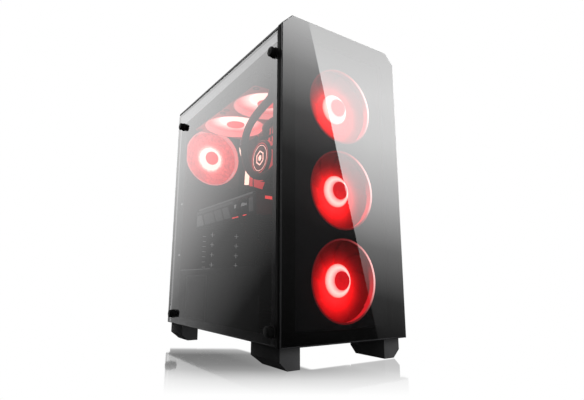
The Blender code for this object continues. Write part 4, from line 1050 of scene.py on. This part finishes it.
def fan_frame(name, centre, axis):
    """The frame: two flanges on posts round a drum, its ring with painted light on the bore's wall and lip,
    and the motor plate on its struts.
    """
    shape = Shape()
    place, bore, front = fan_place(centre, axis), FAN_BORE, name.startswith("front")
    outline = rounded_square(FAN_HALF, 5.0)
    drum = bore + 0.4
    mouth = bore - 2.2 if front else drum
    # A top fan's inlet flange has a painted red glow.
    plate_with_bore(shape, outline, mouth, 0.0, 0.9, SMOKY_RED_PAINTED_GLOW if axis == "Z" else PLASTIC, place)
    plate_with_bore(shape, outline, drum, 0.9, 4.0, PLASTIC, place)
    plate_with_bore(shape, outline, drum, 21.0, 25.0, PLASTIC, place)
    shape.ring(HUB, drum, bore + 1.8, "Z", 4.0, 21.0, PLASTIC, 64, place)
    first = len(shape.faces)
    wall, lip = (BORE_WALL, BORE_LIP) if front else (INNER_RIM_PAINTED_GLOW, INNER_RIM_PAINTED_GLOW)
    shape.ring(HUB, bore, bore + 0.5, "Z", 1.0, 24.7, wall, 64, place)
    shape.ring(HUB, mouth - 1.6, mouth + 0.7, "Z", -0.08, 0.8, lip, 64, place)
    shape.spread_uv(first, place, FAN_HALF)
    for x in (-52.5, 52.5):
        for y in (-52.5, 52.5):
            shape.ring((x, y), 2.4, 4.4, "Z", 3.9, 21.1, PLASTIC, 20, place)
            for low, high in ((-0.15, 2.2), (22.8, 25.15)):
                shape.ring((x, y), 2.3, 5.6, "Z", low, high, RUBBER, 20, place)
    for turn in range(4):
        spin = Matrix.Rotation(math.radians(45 + 90 * turn), 4, "Z")
        shape.box((20.0, bore + 0.5), (-2.0, 2.0), (22.0, 24.6), PLASTIC, 0.5, place @ spin)
    shape.drum(HUB, 21.0, "Z", 22.0, 24.9, PLASTIC, 40, 0.5, place)
    shape.piece(name + "_fan_shroud", name + "_fan_frame", "black_plastic")


def curved_blade(shape, turn, root, tip, low, high, sweep, width, thickness, look, place, dish=0.0):
    """A swept, cambered fan blade, thinner at its tip and edges, and set back at its root by the dish."""
    part, grid, steps, across = bmesh.new(), [], 8, 8
    for i in range(steps + 1):
        share = i / steps
        radius = root + (tip - root) * share
        middle = turn + sweep * share**1.4
        for side in (-1, 1):
            row = []
            for k in range(across + 1):
                t = k / across
                bulge = math.sin(math.pi * min(max(t, 0.06), 0.94))
                along = low + dish * (1 - share) + (high - low) * t - 1.4 * bulge
                along += side * thickness / 2 * (1 - 0.4 * share) * bulge
                row.append(part.verts.new((*on_circle(HUB, radius, middle + width * (t - 0.5)), along)))
            grid.append(row)
    for i in range(steps):
        for side in (0, 1):
            a, b = grid[2 * i + side], grid[2 * i + 2 + side]
            for k in range(across):
                part.faces.new((a[k], a[k + 1], b[k + 1], b[k]))
        for k in (0, across):
            part.faces.new((grid[2 * i][k], grid[2 * i + 1][k], grid[2 * i + 3][k], grid[2 * i + 2][k]))
    for end in (0, 2 * steps):
        for k in range(across):
            part.faces.new((grid[end][k], grid[end][k + 1], grid[end + 1][k + 1], grid[end + 1][k]))
    shape.add(part, look, 0.0, place)


def lit_rotor(name, centre, axis):
    """A lit fan wheel: a small cap, a glowing cone of LEDs round it, a drum behind, and broad overlapping
    blades; the cap, drum and blades glow with painted light.
    """
    blade, cap, collar, hub = FRONT_BLADE, FRONT_HUB, FRONT_COLLAR, 12.6
    if not name.startswith("front"):
        blade, hub = (REAR_BLADE, 14.0) if axis == "Y" else (TOP_BLADE, 17.5)
        cap, collar = INNER_HUB, INNER_COLLAR
    shape, place = Shape(), fan_place(centre, axis)
    face = [(4.3, hub - 4.6), (4.0, hub - 1.8), (4.3, hub - 0.6), (5.2, hub), (6.4, hub + 0.1)]
    cone = [(6.0, hub - 0.4), (6.2, hub + 0.4), (8.6, hub + 2.6), (11.6, hub + 6.2), (13.4, hub + 9.4)]
    shape.turned(face, HUB, "Z", cap, 48, place)
    shape.turned(cone + [(14.0, hub + 10.0), (14.0, hub - 0.4)], HUB, "Z", collar, 64, place, closed=True)
    shape.turned([(13.6, 19.5), (19.4, 19.5), (20.2, 18.6)], HUB, "Z", cap, 48, place)
    sweep, width = math.radians(26), math.radians(54)
    for i in range(9):
        curved_blade(shape, 2 * math.pi * i / 9, 19.0, 55.5, 10.6, 14.6, sweep, width, 1.5, blade, place, 4.6)
    shape.spread_uv(0, place, FAN_HALF)
    shape.piece(name + "_fan_wheel", name + "_fan_rotor", "lit_rotor")


def dark_rotor(name, centre, hub, tip, depth, blades):
    """A plain fan wheel that lies flat, with a domed hub."""
    shape, place = Shape(), fan_place(centre, "Z")
    profile = [(0.0, hub * 0.55), (0.15, hub - 2.2), (0.7, hub - 0.9)]
    profile += [(1.9, hub - 0.15), (3.0, hub), (depth, hub)]
    shape.turned(profile, HUB, "Z", PLASTIC, 48, place)
    shape.ring(HUB, hub * 0.42, hub * 0.5, "Z", -0.06, 0.1, GREY, 40, place)
    pitch = 2 * math.pi / blades
    for i in range(blades):
        curved_blade(
            shape, pitch * i, hub - 1.0, tip, 2.6, depth - 0.6,
            math.radians(30), pitch * 0.85, 1.4, PLASTIC, place,
        )
    shape.piece(name + "_fan_wheel", name + "_fan_rotor", "dark_rotor")


def make_fans():
    red = (1.0, 0.04, 0.04)
    for name, (centre, axis) in FANS.items():
        fan_frame(name, centre, axis)
        lit_rotor(name, centre, axis)
        front = name.startswith("front")
        power, drop = (FRONT_GLOW, Vector((-6.0, 0, -24.0))) if front else (INNER_GLOW, Vector())
        outward = Vector((0, 1, 0)) if axis == "Y" else Vector((0, 0, 1))
        place = CASE_ORIGIN + (Vector(centre) + outward * 0.2 + drop) * MM
        lamp(name + "_glow", place, 0.05, power, red, place + outward)
    lamp("upper_glow", CASE_ORIGIN + Vector((70, 300, 345)) * MM, 0.02, 0.12, (1.0, 0.08, 0.08))
    for name, y in (("gpu_front", 205.0), ("gpu_rear", 312.0)):
        dark_rotor(name, (106.0, y, 180.2), 14.0, 41.0, 11.0, 11)
    dark_rotor("psu", (101.0, 305.0, 5.0), 20.0, 55.0, 13.0, 9)


# --- Cooling ---

TUBE_ROUTES = {
    "a": [
        (52, 102.5, 389.8), (52, 102.7, 382), (52.3, 104.2, 372), (53, 109, 364.5), (55, 120, 361),
        (61, 150, 361.5), (74, 204, 361.5), (85, 246, 356), (93, 272, 341), (97, 281, 320), (100, 275, 294),
        (103, 259, 275), (106, 238, 265.5), (108, 216, 264), (110, 195, 269), (113, 177, 280),
        (117, 168, 295), (121, 173, 310), (125, 188, 319.5), (127, 204, 321), (127, 213.6, 321),
    ],
    "b": [
        (106, 102.5, 389.8), (106, 102.7, 382), (106, 104.2, 371), (106, 109, 363), (105.5, 120, 359),
        (105, 142, 358), (105, 172, 358), (106, 202, 358), (112, 226, 358), (121, 240, 357.8),
        (126.5, 251, 357.5), (127, 261.2, 357.5),
    ],
}
CABLE_ROUTES = {
    "atx_cable": [
        (167.0, 146, 326), (160, 145, 326), (152, 139, 326), (151, 127, 327), (158, 118, 328),
        (172, 115, 329), (187, 115, 330), (196, 118, 324), (199, 126, 305), (199, 145, 245), (199, 170, 170),
        (199, 192, 105), (198, 205, 70), (192, 216, 50), (178, 218, 42), (165, 223, 40), (160, 229, 40),
        (160, 235.2, 40),
    ],
    "gpu_cable": [
        (45.2, 172, 203), (40, 172, 203), (33, 171.6, 200), (30, 171, 190), (34, 170, 176), (44, 171, 158),
        (66, 176, 140), (100, 184, 126), (136, 194, 116), (156, 200, 108), (164, 202, 97), (164, 206, 84),
        (158, 216, 70), (151, 225, 63), (150, 230, 62), (150, 235.4, 62),
    ],
}
CABLE_SIZES = {"atx_cable": (5.0, 7), "gpu_cable": (4.0, 6)}


def make_tubes():
    """Coolant tubes with a collar at each end."""
    for name, places in TUBE_ROUTES.items():
        route = smooth_route(places, 3.0)
        shape = Shape()
        shape.tube(route, 7.0, TUBE, 24)
        for end in (route[:4], route[-5:]):
            shape.tube(end, 7.5, GLOSSY, 24)
        shape.piece(f"tube_{name}_hose", "tube_" + name, "tube_rubber")


def make_cables():
    """Bundled supply leads in combs: a strand for each lead."""
    for name, places in CABLE_ROUTES.items():
        route = smooth_route(places, 5.0)
        radius, strands = CABLE_SIZES[name]
        shape, side = Shape(), Vector((0, 0, 1))
        for across, over in [(0.0, 0.0)] + circle((0, 0), radius * 0.63, strands - 1):
            strand = []
            for i, point in enumerate(route):
                ahead = heading(route, i)
                side = (side - ahead * side.dot(ahead)).normalized()
                strand.append(point + side * across + ahead.cross(side) * over)
            shape.tube(strand, radius * 0.34, SLEEVE, 10)
        for k in range(6, len(route) - 6, 16):
            ahead = heading(route, k)
            shape.tube([route[k] - ahead * 1.6, route[k] + ahead * 1.6], radius, GLOSSY, 20)
        shape.piece(name + "_leads", name, "tube_rubber")


def make_radiator():
    """Painted tanks, a core of flat channels with folded fins between them, and barbs."""
    shape = Shape()
    x, y, z = (22.0, 142.0), (94.0, 371.0), (398.4, 425.1)
    core_y, core_z = (y[0] + 16, y[1] - 16), (z[0] + 1.5, z[1] - 1.5)
    for tank in ((y[0], y[0] + 17), (y[1] - 17, y[1])):
        shape.box(x, tank, z, STEEL, 1.0)
    for side in ((x[0] + 0.6, x[0] + 2.0), (x[1] - 2.0, x[1] - 0.6)):
        shape.box(side, core_y, z, STEEL, 0.3)
    channel = 9.6
    for start in rows(x[0] + 4, x[1] - 8, channel):
        near, far = start + 2.0, min(start + channel, x[1] - 2)
        shape.box((start, near), core_y, core_z, STEEL)
        for place in rows(y[0] + 18, y[1] - 19, 2.4):
            fin = [(near, place), (far, place + 1.2), (far, place + 1.35), (near, place + 0.15)]
            shape.prism(fin, "Z", *core_z, FINS)
    barb = [(399.0, 6.6), (397.4, 6.6), (397.2, 5.0), (394.6, 5.0)]
    barb += [(394.4, 4.7), (392.5, 5.0), (392.3, 4.7), (390.5, 5.0)]
    for centre_x in (52.0, 106.0):
        shape.turned(barb, (centre_x, 102.5), "Z", GLOSSY, 24)
    shape.piece("radiator_core", "radiator", "black_plastic")


def make_pump():
    """The pump on its bracket and plate: a ribbed drum with a glossy face, a lit ring and a lit hexagon, and
    painted red glow on an outer ring and on a band round the drum.
    """
    shape = Shape()
    centre = (258.0, 308.0)
    drum = [(118.6, 29.5), (118.0, 31.5), (118.4, 33.6), (119.6, 35.2), (121.4, 36.0), (146.0, 36.0)]
    shape.turned(drum + [(146.4, 35.4), (148.0, 35.4), (148.4, 36.0), (166.0, 36.0)], centre, "X", GLOSSY, 72)
    outer_ring = [(118.6, 28.2), (118.2, 28.6), (118.2, 29.8), (119.5, 30.2), (119.5, 28.2)]
    shape.turned(outer_ring, centre, "X", RED_LED_AND_PAINTED_GLOW, 72, closed=True)
    inner_ring = [(118.8, 24.2), (118.4, 24.4), (118.4, 25.2), (119.5, 25.4), (119.5, 24.2)]
    shape.turned(inner_ring, centre, "X", PUMP_LIGHT, 72, closed=True)
    shape.turned([(119.0, 28.6), (118.9, 0.5)], centre, "X", GLOSSY, 48)
    band = [(123.0, 35.9), (123.2, 36.3), (131.8, 36.3), (132.0, 35.9)]
    shape.turned(band, centre, "X", RED_LED_AND_PAINTED_GLOW, 72, closed=True)
    hexagon, outer, inner = (circle(centre, radius, 6, math.pi / 6) for radius in (6.0, 15.0, 12.2))
    shape.prism(hexagon, "X", 118.5, 118.95, PUMP_LIGHT)
    for i in range(6):
        j = (i + 1) % 6
        shape.prism([outer[i], outer[j], inner[j], inner[i]], "X", 118.5, 118.95, PUMP_LIGHT)
    for place in circle(centre, 35.9, 48):
        shape.prism(circle(place, 0.45, 8), "X", 149.5, 164.0, GLOSSY)
    shape.box((165.0, 168.5), (228, 288), (278, 338), DARK_METAL, 1.0)
    shape.box((168.0, 171.6), (234, 282), (284, 332), GOLD, 0.4)
    for y in (233.0, 283.0):
        for z in (283.0, 333.0):
            knurled(shape, (y, z), "X", 156.5, 164.9, 3.6, BARE, 18, 0.25)
    collar = [(214.2, 4.6), (215.0, 5.0), (228.0, 5.0), (228.2, 7.4), (236.5, 7.4), (237.0, 6.5)]
    shape.turned(collar, (127.0, 321.0), "Y", GLOSSY, 28)
    shape.drum((127.0, 270.0), 5.0, "Z", 328, 362.0, GLOSSY, 24, 0.8)
    shape.turned([(340.0, 7.2), (344.0, 7.2), (344.4, 6.0)], (127.0, 270.0), "Z", GLOSSY, 28)
    shape.turned([(262.2, 4.2), (262.6, 4.6), (270, 4.6)], (127.0, 357.5), "Y", GLOSSY, 24)
    shape.piece("pump", "pump_block", "black_plastic")


# --- Board and cards ---

# Each stack of ports at the back, as its lowest and highest Z and how far left it reaches.
PORT_STACKS = (
    (250, 266, 150), (272, 288, 150), (294, 310, 146), (316, 334, 146), (340, 356, 150), (364, 398, 156),
)
MEMORY_SLOT_Y = (184.0, 193.5, 203.0, 212.5)
CARD_SLOT_Z = (213.2, 172.6, 131.9)
BOARD_FACE = 180.4
# Each chip's lower front corner and its size, along Y and Z.
CHIPS = (
    (345, 104, 12, 12), (362, 120, 9, 9), (330, 150, 10, 10), (224, 150, 14, 14), (150, 240, 10, 14),
    (160, 110, 8, 18), (300, 190, 9, 9), (240, 118, 12, 8),
)


def make_motherboard():
    """The main board: ports, sockets, slots, coolers, chokes, capacitors, chips, headers and screws."""
    shape = Shape()
    face = BOARD_FACE
    shape.box((face, face + 1.6), (139, 383), (98, 403), BOARD, 0.2)
    for low, high, x in PORT_STACKS:
        shape.box((x, face + 0.4), (362, 386.4), (low, high), BARE, 0.4)
    shape.box((176.5, face), (228, 288), (278, 338), GREY, 0.6)
    shape.box((174.5, 177), (236, 280), (286, 330), BARE, 0.5)
    board_slots(shape, face)
    board_headers(shape, face)
    board_coolers(shape, face)
    board_parts(shape, face)
    for y in (376.6, 219.2, 155.7):
        for z in (392.8, 237.9, 116.0):
            shape.screw((y, z), "X", face, -1, 3.3, BARE)
    shape.piece("main_board", "motherboard", "circuit_board")


def board_slots(shape, face):
    """The memory slots and the card slots, each two walls and a contact strip with its latches."""
    for y in MEMORY_SLOT_Y:
        for low in (y - 2.8, y + 0.8):
            shape.box((174.0, face), (low, low + 2.0), (262, 394), PLASTIC, 0.2)
        shape.box((175.5, face), (y - 0.9, y + 0.9), (263, 393), GREY)
        for z in ((257.0, 262.5), (393.5, 399.0)):
            shape.box((172.5, face), (y - 2.8, y + 2.8), z, GREY, 0.5)
    for z in CARD_SLOT_Z:
        for low in (z - 3.7, z + 0.9):
            shape.box((169.0, face), (234, 323), (low, low + 2.8), PLASTIC, 0.3)
        shape.box((172.0, face), (235, 322), (z - 1, z + 1), GREY)
        if z == CARD_SLOT_Z[0]:
            for low in (z - 4.0, z + 3.6):
                shape.box((168.6, 179.0), (233.5, 323.5), (low, low + 0.4), BARE)
        shape.box((170.0, face), (226, 233.5), (z - 4, z + 4), GREY, 0.6)


def board_headers(shape, face):
    """The supply's socket, two drive sockets and the pin headers along the lower edge."""
    shape.box((168.0, face), (141, 151), (300, 352), PLASTIC, 0.4)
    for k in range(12):
        for y in (143.3, 148.7):
            shape.box((167.6, 168.2), (y - 1.7, y + 1.7), (301.5 + k * 4.2, 304.9 + k * 4.2), GREY)
    for z in (190.0, 198.5):
        shape.box((170.0, face), (140, 158), (z, z + 7.2), PLASTIC, 0.5)
        shape.box((169.8, 171.0), (141.5, 156.5), (z + 2, z + 5), GREY)
    for y in rows(150, 326, 22):
        shape.box((174.0, face), (y, y + 16), (100.5, 105.5), PLASTIC, 0.3)
        for pin in rows(y + 2, y + 14.5, 2.5):
            shape.box((171.5, 174.2), (pin, pin + 0.7), (102.6, 103.3), GOLD)


def board_coolers(shape, face):
    """The chipset's cooler with slanted ribs, and the finned coolers round the processor, with painted red
    light on their faces.
    """
    shape.box((171.0, face), (165, 215), (122, 162), DARK_METAL, 1.2)
    for y in rows(168, 208, 8):
        top = min(y + 9, 214)
        shape.prism([(y, 123), (y + 3, 123), (top, 161), (top - 3, 161)], "X", 170.6, 171.2, DARK_COAT_AND_PAINTED_SHADE)
    for z in rows(276, 360, 6.0):
        shape.box((152.0, 176.0), (300, 312), (z, z + 3.6), DARK_METAL, 0.4)
        shape.box((151.6, 152.2), (301, 311), (z + 0.6, z + 3.0), RED_LED_AND_PAINTED_GLOW)
    shape.box((170.0, face), (299, 313), (275, 366.5), DARK_METAL, 0.5)
    for y in rows(232, 284, 13.0):
        shape.box((158.0, 177.0), (y, y + 8.6), (352, 366), DARK_METAL, 0.4)
        shape.box((157.6, 158.2), (y + 0.6, y + 8.0), (352.6, 365.4), RED_LED_AND_PAINTED_GLOW, 0.2)
    shape.box((172.0, face), (230, 294), (351, 367), DARK_METAL, 0.5)
    shape.box((158.0, 179.0), (231, 293), (350.2, 350.9), RED_LED_AND_PAINTED_GLOW, 0.2)
    cooler = [(238, 372), (300, 372), (354, 386), (360, 400), (238, 400)]
    shape.prism(cooler, "X", 162.0, face, DARK_METAL, 0.6)
    for y in rows(242, 352, 16.0):
        near, far = 374 + max(0, y - 296) * 0.25, 374 + max(0, y - 285) * 0.25
        shape.prism([(y, near), (y + 11, far), (y + 5, 398), (y - 3, 398)], "X", 161.6, 162.1, RED_LED_AND_PAINTED_GLOW)


def board_parts(shape, face):
    """Chokes, capacitors, chips with their legs, and small parts in rows."""
    for z in rows(280, 352, 12.0):
        shape.box((174.5, face), (291.5, 298.5), (z, z + 8.0), GREY, 0.8)
    for y in rows(234, 284, 12.5):
        shape.box((174.5, face), (y, y + 8.0), (342.5, 349.5), GREY, 0.8)
    capacitors = [(y, 247.0) for y in rows(236, 290, 9.0)] + [(346.0, z) for z in rows(160, 200, 9.0)]
    capacitors += [(223.0, z) for z in rows(276, 330, 9.0)] + [(160.0, z) for z in rows(262, 290, 9.0)]
    for place in capacitors:
        shape.turned([(face, 3.3), (170.4, 3.3), (170.0, 3.0)], place, "X", DARK_COAT_AND_PAINTED_SHADE, 20)
        shape.turned([(170.05, 2.8), (169.9, 2.6)], place, "X", BARE, 20)
    for y, z, wide, tall in CHIPS:
        shape.box((178.6, face), (y, y + wide), (z, z + tall), GLOSSY, 0.3)
        for k in range(int(tall / 1.4)):
            shape.box((180.0, face), (y - 1.0, y + wide + 1.0), (z + 0.5 + k * 1.4, z + 1.0 + k * 1.4), BARE)
    for y in rows(160, 340, 9.0):
        for z in (240.0, 246.0, 186.0, 156.0):
            if (int(y) * 7 + int(z)) % 3:
                shape.box((179.7, face), (y, y + 1.8), (z, z + 0.9), GREY)


def make_covers():
    refine("io_cover", GLOSSY, "black_plastic", 0.8, cover_light)
    refine("io_shield", BARE, "bare_steel", 0.1, port_fronts)
    refine("slot_covers", DARK_COAT_AND_PAINTED_SHADE, "bare_steel", 0.1, slot_details)


def cover_light(shape):
    """A lit blade-shaped inlay down the port cover's side, and facets next to it with painted red light."""
    face = 139.0
    for depth, look, outline in (
        (0.5, COVER_LIGHT, [(385, 366), (381, 353), (368, 347)]),
        (0.45, COVER_LIGHT, [(384, 367), (381, 353), (351, 311), (348, 313), (364, 336)]),
        (0.4, COVER_LIGHT, [(353, 310), (349, 313), (335, 296), (337, 272), (356, 276)]),
        (0.35, RED_LED_AND_PAINTED_GLOW, [(334, 293), (321, 289), (321, 266), (334, 269)]),
    ):
        shape.prism(outline, "X", face - depth, face, look)
    shape.prism([(139.5, 284), (168, 283), (160, 262), (140, 265)], "Y", 317.6, 318.0, RED_LED_AND_PAINTED_GLOW)


def port_fronts(shape):
    """What each port shows at the rear: dark mouths with tongues, and round sockets in the tall stack."""
    for low, high, x in PORT_STACKS:
        shape.box((x + 2, 178), (385.6, 386.2), (low + 2, high - 2), PLASTIC)
        if high - low > 25:
            for z in rows(low + 6.5, low + 27.5, 10.5):
                for column in (163.0, 172.0):
                    shape.ring((column, z), 2.0, 3.6, "Y", 385.8, 387.95, GREY, 20)
        else:
            for z in ((low + high) / 2 - 4.0, (low + high) / 2 + 3.0):
                shape.box((x + 4, 176), (385.9, 386.9), (z - 0.8, z + 0.8), GREY, 0.2)


def slot_details(shape):
    """Air holes in each slot's cover as dark patches of painted shade, its screw, pale crosses of painted
    light by it, and pale ticks with painted glow by the flange.
    """
    for middle in rows(108.0, 168.96, 20.32):
        # Dark patches of painted shade where the air holes are.
        for x in rows(96, 168, 6.0):
            for back in ((385.5, 386.75), (386.5, 386.66)):
                shape.box((x, x + 3.0), back, (middle - 4, middle + 4), RUBBER)
        for x in (83.0, 138.0):
            for wide, tall in ((4.6, 0.5), (0.6, 4.6)):
                shape.box((x - wide, x + wide), (385.2, 385.5), (middle - tall, middle + tall), PALE_PAINTED_GLOW)
        shape.screw((76.0, middle), "Y", 385.6, -1, 3.0, SCREW)
    for z in rows(103.0, 174.0, 10.16):
        shape.box((62.0, 69.0), (384.6, 384.9), (z, z + 0.9), PALE_PAINTED_GLOW)


def make_memory():
    """Memory modules: a board with gold contacts between notched heat spreaders, and a lit upper edge."""
    spreader = [
        (142.8, 265), (142.8, 282), (145.4, 286), (145.4, 304), (142.8, 308), (142.8, 344), (145.4, 348),
        (145.4, 366), (142.8, 370), (142.8, 388), (146, 393), (173.0, 393), (173.0, 259), (146, 259),
    ]
    for index, y in enumerate((193.5, 212.5)):
        shape = Shape()
        shape.box((145.0, 176.5), (y - 0.6, y + 0.6), (262.5, 392.8), BOARD)
        for z in rows(264, 388, 2.0):
            shape.box((174.2, 176.6), (y - 0.75, y + 0.75), (z, z + 1.1), GOLD)
        for side in (-1, 1):
            face = y + side * 3.6
            shape.prism(spreader, "Y", *sorted((y + side * 0.7, face)), DARK_METAL, 0.4)
            near, far = sorted((face - side * 0.2, face))
            for z in rows(276, 372, 24):
                shape.box((152, 166), (near - 0.02, far + 0.02), (z - 6, z + 6), DARK_COAT_AND_PAINTED_SHADE)
        shape.box((142.9, 144.2), (y - 1.0, y + 1.0), (270, 384), RED_LED_AND_PAINTED_GLOW, 0.3)
        shape.piece(f"memory_{index + 1}", f"ram_{index + 1}", "dark_metal")


# The slanted facets of the card's cover, each with painted sheen.
CARD_PANELS = (
    [(228, 182), (252, 182), (266, 203), (242, 203)],
    [(258, 182), (286, 182), (300, 203), (272, 203)],
    [(292, 182), (337, 182), (349, 203), (306, 203)],
    [(150, 184), (164, 184), (166, 206), (152, 206)],
)


def make_graphics_card():
    """The card: board, contacts, ribbed backplate, fins, pipes, bracket, ports, socket; then its cover."""
    shape = Shape()
    shape.box((52, 168.6), (150, 384.4), (212.4, 214.0), BOARD, 0.2)
    for y in rows(236, 320, 1.8):
        shape.box((168.0, 176.0), (y, y + 1.0), (212.6, 213.8), GOLD)
    shape.box((50, 164), (146, 380), (214.0, 216.5), DARK_METAL, 0.8)
    # A painted highlight along the backplate's edge.
    shape.box((49.6, 50.1), (160, 380), (213.8, 217.0), PAINTED_HIGHLIGHT, 0.1)
    for x in rows(62, 140, 13):
        shape.prism([(x, 170), (x + 4, 170), (x + 10, 205), (x + 6, 205)], "Z", 216.3, 216.56, DARK_COAT_AND_PAINTED_SHADE)
    for y in rows(153, 372, 2.6):
        shape.box((56, 160), (y, y + 0.5), (193, 211.5), FINS)
    for x in (70.0, 92.0, 120.0, 142.0):
        shape.tube([Vector((x, 154, 203)), Vector((x, 374, 203))], 3.0, GOLD, 16)
    shape.box((70, 181), (384.2, 385.2), (181.5, 218), BARE, 0.2)
    for z in (188.0, 203.0):
        for x in rows(86, 150, 22.0):
            shape.box((x, x + 15), (383.2, 386.2), (z - 3, z + 3), PLASTIC, 0.5)
    shape.box((45.9, 50.0), (164, 182), (198, 209), PLASTIC, 0.4)
    shape.piece("graphics_card", "gpu_card", "dark_metal")
    refine("gpu_shroud", CARD_PLASTIC, "black_plastic", 0.8, card_trims)


def card_trims(shape):
    """The cover's fan rings, angular ribs below, slanted facets along its side with painted sheen, a painted
    highlight on one facet, a pale strip with painted glow, and its lit strips.
    """
    low = 179.0
    for y in (205.0, 312.0):
        shape.ring((106, y), 43.0, 45.5, "Z", low - 0.6, low + 0.3, GLOSSY, 56)
    for near, far in ((144, 158), (252, 265), (358, 381)):
        for edge, wide, narrow in ((50, 70, 60), (162, 142, 152)):
            rib = [(edge, near), (wide, near), (narrow, far), (edge, far)]
            shape.prism(rib, "Z", low - 0.5, low + 0.1, GREY, 0.2)
    for outline in CARD_PANELS:
        shape.prism(outline, "X", 45.7, 46.2, CARD_FACET_PAINTED_SHEEN, 0.15)
    shape.box((45.6, 46.2), (222, 381), (205.5, 210.5), CARD_FACET_PAINTED_SHEEN, 0.15)
    shape.prism([(345, 182), (379, 182), (379, 203.5), (357, 203.5)], "X", 45.6, 46.2, PAINTED_HIGHLIGHT, 0.15)
    shape.box((45.5, 46.1), (173, 223), (179.6, 181.4), RED_STRIP)
    shape.box((45.4, 46.1), (172, 216), (196.4, 202.4), PALE_PAINTED_GLOW, 0.15)
    shape.box((62, 84), (141.6, 142.1), (203.5, 208.5), RED_STRIP)


def make_power_supply():
    """The power supply's housing and switch, and its board with transformer, cooler, drum and coil."""
    refine("psu_housing", STEEL, "black_steel", 0.2, supply_details)
    refine("psu_switch", GLOSSY, "button_plastic", 0.5, switch_marks)
    shape = Shape()
    shape.box((32, 170), (244, 368), (80, 81.6), BOARD, 0.2)
    shape.box((60, 95), (290, 325), (45, 80.5), GREY, 1.0)
    shape.box((66, 89), (289, 326), (50, 75), GOLD, 0.5)
    for y in rows(252, 356, 4.0):
        shape.box((103, 109), (y, y + 1.4), (35, 80.5), FINS)
    shape.box((105, 106.5), (252, 360), (35, 80.5), FINS)
    shape.turned([(80.5, 13.0), (43.0, 13.0), (42.0, 12.0)], (135, 285), "Z", GLOSSY, 36)
    shape.ring((137, 332), 4.0, 11.5, "Z", 50, 62, GOLD, 32)
    shape.piece("supply_board", "psu_board", "circuit_board")


def supply_details(shape):
    """The wire fan guard, the inlet's pins, the dark well of the inlet and the sockets for the cables."""
    for radius in (18.0, 30.0, 42.0, 54.0):
        shape.ring((101.0, 305.0), radius - 0.7, radius + 0.7, "Z", 0.9, 2.1, BARE, 56)
    for turn in range(4):
        spin = Matrix.Translation((101, 305, 0)) @ Matrix.Rotation(math.radians(45 * turn), 4, "Z")
        shape.box((-58, 58), (-0.7, 0.7), (1.2, 2.3), BARE, 0.0, spin)
    for x, z in ((44.0, 24.0), (50.0, 26.5), (56.0, 24.0)):
        shape.box((x - 1.0, x + 1.0), (374.5, 383.5), (z, z + 7.0), BARE, 0.2)
    shape.box((73.0, 86.0), (381.0, 384.5), (21, 39), PLASTIC)
    for x in (120, 134, 148):
        shape.box((x, x + 10), (235.4, 236.2), (50, 70), PLASTIC, 0.3)


def switch_marks(shape):
    """The rocker's line and ring."""
    shape.ring((79.5, 26.0), 1.5, 2.0, "Y", 386.6, 387.5, WHITE_PRINT, 24)
    shape.box((79.2, 79.8), (386.6, 389.0), (32.5, 35.5), WHITE_PRINT)


def drive_details(shape):
    """The drive's cover, its screws and the round boss over its axle."""
    shape.box((45, 175), (80, 166), (35.9, 36.2), BARE)
    for x in (48.0, 110.0, 172.0):
        for y in (80.0, 166.0):
            shape.screw((x, y), "Z", 36.1, 1, 2.6, BARE)
    shape.turned([(36.0, 20.0), (36.3, 19.6)], (120, 123), "Z", DARK_METAL, 40)


def io_chips(shape):
    for x in (64.0, 116.0):
        shape.box((x, x + 6), (28, 34), (405.6, 407), GLOSSY, 0.2)


def main():
    make_camera()
    make_studio()
    make_panes()
    make_shell()
    make_feet()
    make_screws()
    make_filters()
    make_ports()
    make_fans()
    make_tubes()
    make_cables()
    make_radiator()
    make_pump()
    make_motherboard()
    make_covers()
    make_memory()
    make_graphics_card()
    make_power_supply()
    refine("hard_drive", DARK_METAL, "dark_metal", 0.8, drive_details)
    refine("io_board", BOARD, "circuit_board", 0.2, io_chips)


main()
